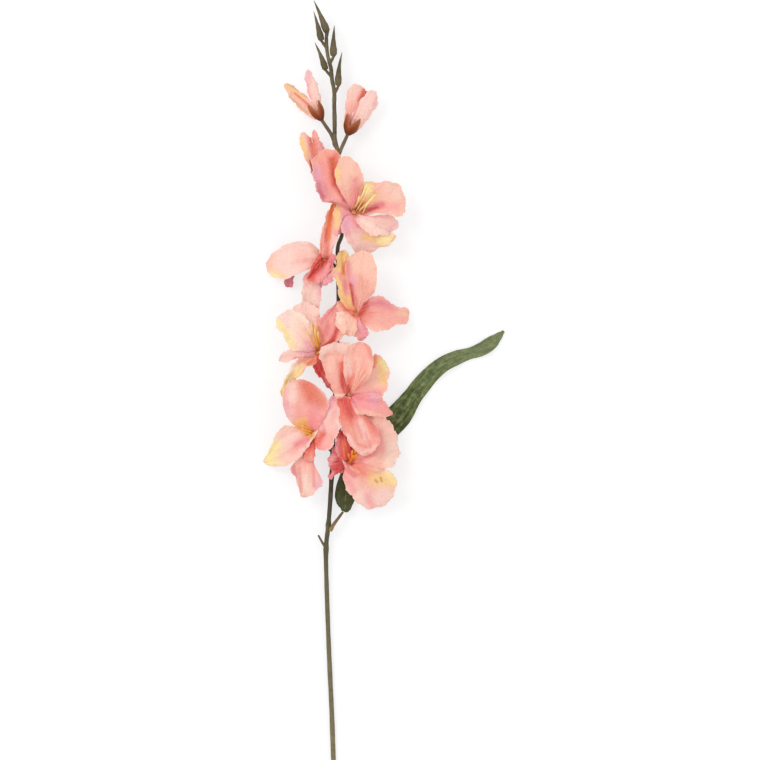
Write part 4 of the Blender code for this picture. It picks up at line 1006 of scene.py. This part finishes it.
def leaf_cloth():
    """Printed leaf cloth: mottled greens, darker towards the root with painted shade from the blooms, a pale
    midrib, fine long veins.
    """
    shader = Shader("leaf_cloth", 0.55, Specular_IOR_Level=0.35)
    s, t = shader.places()
    space = shader.space()
    streaks = shader.noise(shader.stretched(shader.times(s, 2.2), shader.times(t, 9.0)), 1.6, 6.0)
    mottle = shader.math("MULTIPLY_ADD", shader.noise(space, 190.0, 6.0), 0.5, shader.times(streaks, 0.5))
    colour = shader.colours(mottle, LEAF_GREENS)
    # Darker towards the root: partly the leaf's print, partly painted shade from the blooms that lie over
    # it.
    root = shader.times(shader.ramp(t, 0.36, 0.15), 0.85)
    colour = shader.mix(root, colour, linear((60, 62, 20)))
    colour = shader.mix(shader.ramp(t, 0.4, 0.9, 0.0, 0.5), colour, linear((134, 144, 104)))
    fine = shader.noise(shader.stretched(shader.times(s, 22.0), shader.times(t, 6.0)), 1.0, 2.0)
    colour = shader.mix(shader.ramp(fine, 0.5, 0.7, 0.0, 0.35), colour, linear((146, 152, 108)))
    colour = shader.mix(shader.ramp(fine, 0.5, 0.3, 0.0, 0.3), colour, linear((52, 60, 20)))
    near = shader.ramp(shader.math("ABSOLUTE", s), 0.12, 0.0, 0.0, 0.6)
    colour = shader.mix(shader.times(near, shader.ramp(mottle, 0.4, 0.6)), colour, linear((150, 152, 118)))
    return shader.finish(colour, shader.weave(space, LEAF_THREAD, 0.15, shader.times(fine, 4.0)))


def moulded(name, stops, roughness=0.55, grime=1.0):
    """Moulded plastic whose colour runs along the stem, with dark specks, worn patches and a fine grain."""
    shader = Shader(name, roughness, Specular_IOR_Level=0.35)
    s, t = shader.places()
    space = shader.space()
    colour = shader.mix(s, shader.colours(t, stops), linear(CUP_PINK))
    specks = shader.noise(space, SPECK_SCALE, 3.0)
    colour = shader.mix(shader.ramp(specks, 0.45, 0.75, 0.0, 0.35 * grime), colour, linear((52, 38, 28)))
    worn = shader.noise(space, SPECK_SCALE / 5, 2.0)
    colour = shader.mix(shader.ramp(worn, 0.52, 0.8, 0.0, 0.3 * grime), colour, linear((170, 156, 116)))
    return shader.finish(colour, shader.bump(specks, 0.3, 0.3))


def stamen_plastic(bloom):
    """The colours of a set of stamens, from its foot to its tips, with grains of pollen."""
    shader = Shader(f"{bloom.name}_stamen_plastic", 0.5)
    _, t = shader.places()
    stalk, tip = bloom.pollen
    stops = ((0.0, STAMEN_FOOT), (0.25, stalk), (0.6, stalk), (0.75, tip), (1.0, tip))
    grain = shader.ramp(shader.noise(shader.space(), 900.0), 0.45, 0.8, 0.0, 0.5)
    return shader.finish(shader.mix(grain, shader.colours(t, stops), linear(POLLEN_GRAIN)))


# Pieces


def stem_point(distance):
    return min(smooth_route(STEM_ROUTE, 8), key=lambda point: abs(point.y - distance))


def stalk_mesh(bloom):
    """A bloom's stalk, from the main stem to the foot of its cup."""
    start, axis = stem_point(bloom.joint), unit(bloom.axis)
    neck = Vector(bloom.base) - CUP_LENGTH * axis
    middle = start.lerp(neck, 0.5) + Vector((0, 4, 0))
    route, _ = bezier(start, middle, neck - 5 * axis, neck, np.linspace(0, 1, STALK_STEPS))
    return tube_mesh(route, [STALK_RADIUS] * STALK_STEPS, 16, 0.04)


def cup_mesh(bloom):
    side, up = cross_axes(bloom.axis)
    vertices = []
    for height, radius in CUP_PROFILE:
        centre = Vector(bloom.base) + height * unit(bloom.axis)
        for corner in range(CUP_SIDES):
            turn = 2 * math.pi * corner / CUP_SIDES
            reach = radius * (1 + FLUTE_DEPTH * math.cos(FLUTES * turn))
            vertices.append(on_circle(centre, side, up, reach, turn))
    return vertices, ring_faces(len(CUP_PROFILE), CUP_SIDES)


def make_stem():
    """The main stem and its joints, the blooms' stalks and cups, the buds' twigs and the bare peg."""
    stem = smooth_route(STEM_ROUTE, 12)
    radii = np.array(smooth_values(STEM_RADII, 12))
    distances = np.array([point.y for point in stem])
    for knot in (*(bloom.joint for bloom in BLOOMS), *STEM_KNOTS):
        radii += KNOT_SWELL * np.exp(-((distances - knot) / KNOT_LENGTH) ** 2)
    meshes = [tube_mesh(stem, radii, 16, 0.05)]
    places = [(0, min(point[1] / BROWNS_LENGTH, 1), 0) for point in meshes[0][0]]
    for bloom in BLOOMS:
        stalk = stalk_mesh(bloom)
        meshes += [stalk, cup_mesh(bloom)]
        places += [(0, STALK_SHADE, 0)] * len(stalk[0])
        for height, _ in CUP_PROFILE:
            places += [(min(max((height + 11) / 7, 0), 1), STALK_SHADE, 0)] * CUP_SIDES
    for bud in BUDS:
        route = smooth_route((*bud.twig, Vector(bud.base) + TWIG_PLUG * unit(bud.axis)), 6)
        meshes.append(tube_mesh(route, [TWIG_RADIUS] * len(route), 12, 0.06))
        places += [(0, TWIG_SHADE, 0)] * len(meshes[-1][0])
    peg = smooth_route(BARE_PEG, 4)
    meshes.append(tube_mesh(peg, np.linspace(*PEG_RADII, len(peg)), 12, 0.06))
    places += [(0, PEG_SHADE, 0)] * len(meshes[-1][0])
    new_piece("stem", merged(meshes), places, moulded("stem_plastic", STEM_BROWNS), ["main_stem"])


def add_petal(owner, petal, surface, place, seed, node, throat=()):
    """Makes one sheet of cloth of a bloom or a bud, and gives its mesh back."""
    mesh = (surface.reshape(-1, 3), grid_faces(ROWS, COLUMNS))
    stuff = petal_cloth(f"{owner.name}_{petal.name}_cloth", owner.base, petal, seed, throat)
    piece = new_piece(f"{owner.name}_cloth_{petal.name}", mesh, place, stuff, [node])
    thicken(piece, CLOTH)
    return mesh


def make_calyx(bud, index):
    """The toothed cup that holds a bud's petals."""
    axis = unit(bud.axis)
    side, up = cross_axes(axis)
    vertices, places = [], []
    for ring in range(CALYX_RINGS + 1):
        share = ring / CALYX_RINGS
        for corner in range(CALYX_SIDES):
            turn = 2 * math.pi * corner / CALYX_SIDES
            tooth = 1 - abs(((TEETH * corner / CALYX_SIDES + 0.13 * index) % 1) * 2 - 1)
            height = 0.3 + share * (NOTCH + TOOTH * tooth)
            full = math.sin(math.pi / 2 * min(height / CALYX_SHOULDER, 1.0)) ** 0.9
            reach = bud.radius * (0.25 + 0.75 * full)
            reach *= 1 + 0.03 * math.sin(TEETH * turn) + 0.02 * max(height - CALYX_SHOULDER, 0.0)
            vertices.append(on_circle(Vector(bud.base) + height * axis, side, up, reach, turn))
            places.append((0, share, 0))
    mesh = (vertices, ring_faces(CALYX_RINGS + 1, CALYX_SIDES, open_end=True))
    stuff = moulded(f"{bud.name}_calyx_plastic", CALYX_BROWNS, 0.6, grime=0.3)
    piece = new_piece(f"{bud.name}_cup", mesh, places, stuff, [f"{bud.name}_calyx"])
    thicken(piece, CALYX_CLOTH)


def make_bud(bud, index):
    """A bud's petals, each over the ones before it, and its calyx."""
    axis = unit(bud.axis)
    laid = []
    for number, (petal, angle) in enumerate(zip(bud.petals, seat_angles(bud))):
        phase, seed = index + 2.4 * number, index + 0.37 * number
        surface, place = petal_surface(bud.base, axis, petal, angle, phase, BUD_SEAT_RADIUS, BUD_SEAT)
        if laid:
            surface = drape(surface, tree_of(laid), BUD_LAYER_GAP)
        laid.append(add_petal(bud, petal, surface, place, seed, f"{bud.name}_petals"))
    make_calyx(bud, index)


def make_spike():
    """The top of the stem with its closed buds."""
    meshes = [tube_mesh(smooth_route(SPIKE_ROUTE, 8), smooth_values(SPIKE_RADII, 8), 14, 0.06)]
    for joint, root, tip, width, sway in CLOSED_BUDS:
        joint, root, tip = Vector(joint), Vector(root), Vector(tip)
        bow = Vector((sway, 0.0, 0.4))
        points = [joint, joint.lerp(root, 0.5)]
        points += [root.lerp(tip, share) + math.sin(math.pi * share) * bow for share, _ in CLOSED_SHAPE]
        radii = [1.6, 1.8] + [width / 2 * full for _, full in CLOSED_SHAPE]
        radii = np.maximum(smooth_values(radii, 4), 0.25)
        meshes.append(tube_mesh(smooth_route(points, 4), radii, 18, 0.09))
    mesh = merged(meshes)
    places = [(0, 0.5 + 0.5 * math.sin(point[1] / 6), 0) for point in mesh[0]]
    new_piece("spike", mesh, places, moulded("spike_plastic", SPIKE_BROWNS, 0.6), ["bud_spike"])


def make_leaf():
    """The leaf and its stalk; gives the mesh of its blade back."""
    route, widths = smooth_route(LEAF_ROUTE, 12), smooth_values(LEAF_WIDTHS, 12)
    surface = np.empty((LEAF_ROWS, LEAF_COLUMNS, 3))
    place = np.zeros_like(surface)
    for row in range(LEAF_ROWS):
        t = row / (LEAF_ROWS - 1)
        here = t * (len(route) - 1)
        index = min(int(here), len(route) - 2)
        middle = route[index].lerp(route[index + 1], here - index)
        across = unit(route[index + 1] - route[index]).cross(UP).normalized()
        for column in range(LEAF_COLUMNS):
            s = 2 * column / (LEAF_COLUMNS - 1) - 1
            on_left = s > 0
            half = widths[round(here)] / 2 * (1 + 0.03 * abs(s) ** 4 * math.sin(34 * t + 2 * on_left))
            wave = 1.5 * s * abs(s) * math.sin(2 * math.pi * 4.5 * t + 1.3 * s)
            wave += 0.6 * abs(s) ** 3 * math.sin(2 * math.pi * 11 * t + 2.6 * on_left)
            wave += 1.3 * s * s - 0.5 * math.exp(-((s / 0.08) ** 2))
            surface[row, column] = middle + s * half * across + Vector((0, 0, wave * smooth(t / 0.1)))
            place[row, column] = (s, t, 0)
    surface[..., 2] = np.maximum(surface[..., 2], LEAF_CLOTH / 2)
    blade = (surface.reshape(-1, 3), grid_faces(LEAF_ROWS, LEAF_COLUMNS))
    thicken(new_piece("leaf_blade", blade, place, leaf_cloth(), ["leaf"]), LEAF_CLOTH)

    radii = np.array(smooth_values(LEAF_STALK_RADII, 8))
    radii += 0.8 * np.exp(-((np.arange(len(radii)) - 3) / 2.5) ** 2)
    stalk = tube_mesh(smooth_route(LEAF_STALK_ROUTE, 8), radii, 14, 0.08)
    places = [(0, (point[1] - 292) / 20, 0) for point in stalk[0]]
    stuff = moulded("leaf_stalk_plastic", LEAF_STALK_BROWNS)
    new_piece("leaf_stem", stalk, places, stuff, ["leaf_stalk"])
    return blade


def make_stamens(bloom, laid):
    """A bloom's stamens, lifted off the petals under them, on one button."""
    base, axis = Vector(bloom.base), unit(bloom.axis)
    tree = tree_of(laid)
    radii = [bloom.shaft] * SHAFT_STEPS + [bloom.anther * full for full in ANTHER_SHAPE]
    last = len(radii) - 1
    meshes, places = [], []
    for number, tip in enumerate(bloom.stamens):
        end = base + Vector(tip[:3])
        length = (end - base).length
        foot = base + 1.2 * axis + 0.9 * Vector((math.cos(2.4 * number), math.sin(2.4 * number), 0))
        foot += Vector((*tip[3:], 0, 0, 0)[:3])
        above = end.lerp(base, 0.3) + 0.1 * length * axis
        curve, _ = bezier(foot, foot + 0.4 * length * axis, above, end, np.linspace(0, 1, last + 1))
        route = []
        for step, point in enumerate(curve):
            point = Vector(point)
            hit, _, _, _ = tree.ray_cast(point + REACH * axis, -axis, 2 * REACH)
            lift = (hit - point).dot(axis) + STAMEN_GAP if hit and step > 3 else 0.0
            route.append(point + (lift if 0 < lift < STAMEN_DEEPEST else 0.0) * axis)
        meshes.append(tube_mesh(route, radii, STAMEN_SIDES))
        places += [(0, corner // STAMEN_SIDES / last, 0) for corner in range(len(meshes[-1][0]))]
    heights, widths = zip(*BUTTON_PROFILE)
    meshes.append(tube_mesh([base + height * axis for height in heights], widths, 18, 0.05))
    places += [(0, 0.0, 0)] * len(meshes[-1][0])
    piece = f"{bloom.name}_filaments"
    new_piece(piece, merged(meshes), places, stamen_plastic(bloom), [f"{bloom.name}_stamens"])


def make_bloom(bloom, index, placed):
    """A bloom's petals, each over the ones before it and over what is placed, and its stamens."""
    axis = unit(bloom.axis)
    surroundings = tree_of(placed)
    laid = []
    for number, (petal, angle) in enumerate(zip(bloom.petals, seat_angles(bloom))):
        phase = 2.4 * number + 1.3 * index
        surface, place = petal_surface(bloom.base, axis, petal, angle, phase)
        surface[..., 2] = np.maximum(surface[..., 2], CLOTH / 2)
        surface = drape(surface, surroundings, LAYER_GAP)
        if laid:
            surface = drape(surface, tree_of(laid), LAYER_GAP)
        node = f"{bloom.name}_petal_{petal.name}"
        laid.append(add_petal(bloom, petal, surface, place, phase, node, [bloom.throat]))
    make_stamens(bloom, laid)
    return laid


# Studio


def make_floor():
    """White paper that the camera sees evenly bright, and that lights the spray as paper does."""
    mesh = bpy.data.meshes.new("floor")
    corners = [(-FLOOR, -FLOOR, 0), (FLOOR, -FLOOR, 0), (FLOOR, FLOOR, 0), (-FLOOR, FLOOR, 0)]
    mesh.from_pydata(corners, [], [(0, 1, 2, 3)])
    shader = Shader("floor_paper", 0.9)
    grain = shader.ramp(shader.noise(shader.space(), 40.0), 0.3, 0.7)
    path = shader.node("ShaderNodeLightPath", {}).outputs
    seen = shader.math("MAXIMUM", path["Is Camera Ray"], path["Is Glossy Ray"])
    seen = shader.math("MAXIMUM", seen, path["Is Transmission Ray"])
    paper = shader.mix(grain, grey(0.90), grey(0.92))
    shown = shader.mix(grain, grey(0.36), grey(0.37))
    shader.give(shader.surface.inputs["Emission Color"], grey(1.0))
    shader.give(shader.surface.inputs["Emission Strength"], shader.times(seen, 0.65))
    mesh.materials.append(shader.finish(shader.mix(seen, paper, shown)))
    floor = bpy.data.objects.new("floor", mesh)
    bpy.context.scene.collection.objects.link(floor)


def add_light(name, place, size, watts):
    """A square lamp that shines at the middle of the floor."""
    data = bpy.data.lights.new(name, "AREA")
    data.size = size
    data.energy = watts
    light = bpy.data.objects.new(name, data)
    light.location = place
    light.rotation_euler = (-Vector(place)).to_track_quat("-Z", "Y").to_euler()
    bpy.context.scene.collection.objects.link(light)


def make_studio():
    world = bpy.data.worlds.new("studio")
    world.use_nodes = True
    background = world.node_tree.nodes["Background"]
    background.inputs["Color"].default_value = grey(1.0)
    background.inputs["Strength"].default_value = 0.84
    bpy.context.scene.world = world
    add_light("key", (-1.4, 1.2, 2.2), 1.2, 19.0)
    add_light("fill", (1.6, -0.8, 2.2), 2.0, 4.0)


def make_camera():
    """Looks straight down on the spray, from far off, as the photograph does."""
    data = bpy.data.cameras.new("camera")
    data.lens = data.sensor_width * CAMERA_HEIGHT / (VIEW_WIDTH * MM)
    data.clip_end = 30.0
    camera = bpy.data.objects.new("camera", data)
    middle = ORIGIN + Vector(VIEW_MIDDLE) * MM
    camera.location = (middle.x, middle.y, CAMERA_HEIGHT)
    bpy.context.scene.collection.objects.link(camera)
    bpy.context.scene.camera = camera


def main():
    make_stem()
    make_spike()
    leaf = make_leaf()
    for index, bud in enumerate(BUDS):
        make_bud(bud, index)
    placed = [leaf, tube_mesh(smooth_route(STEM_ROUTE, 6), smooth_values(STEM_RADII, 6), 10)]
    for index, bloom in enumerate(BLOOMS):
        stalks = [stalk_mesh(other) for other in BLOOMS if other is not bloom]
        placed += make_bloom(bloom, index, placed + stalks)
    make_floor()
    make_studio()
    make_camera()
    bpy.context.scene.view_settings.view_transform = "Standard"


main()
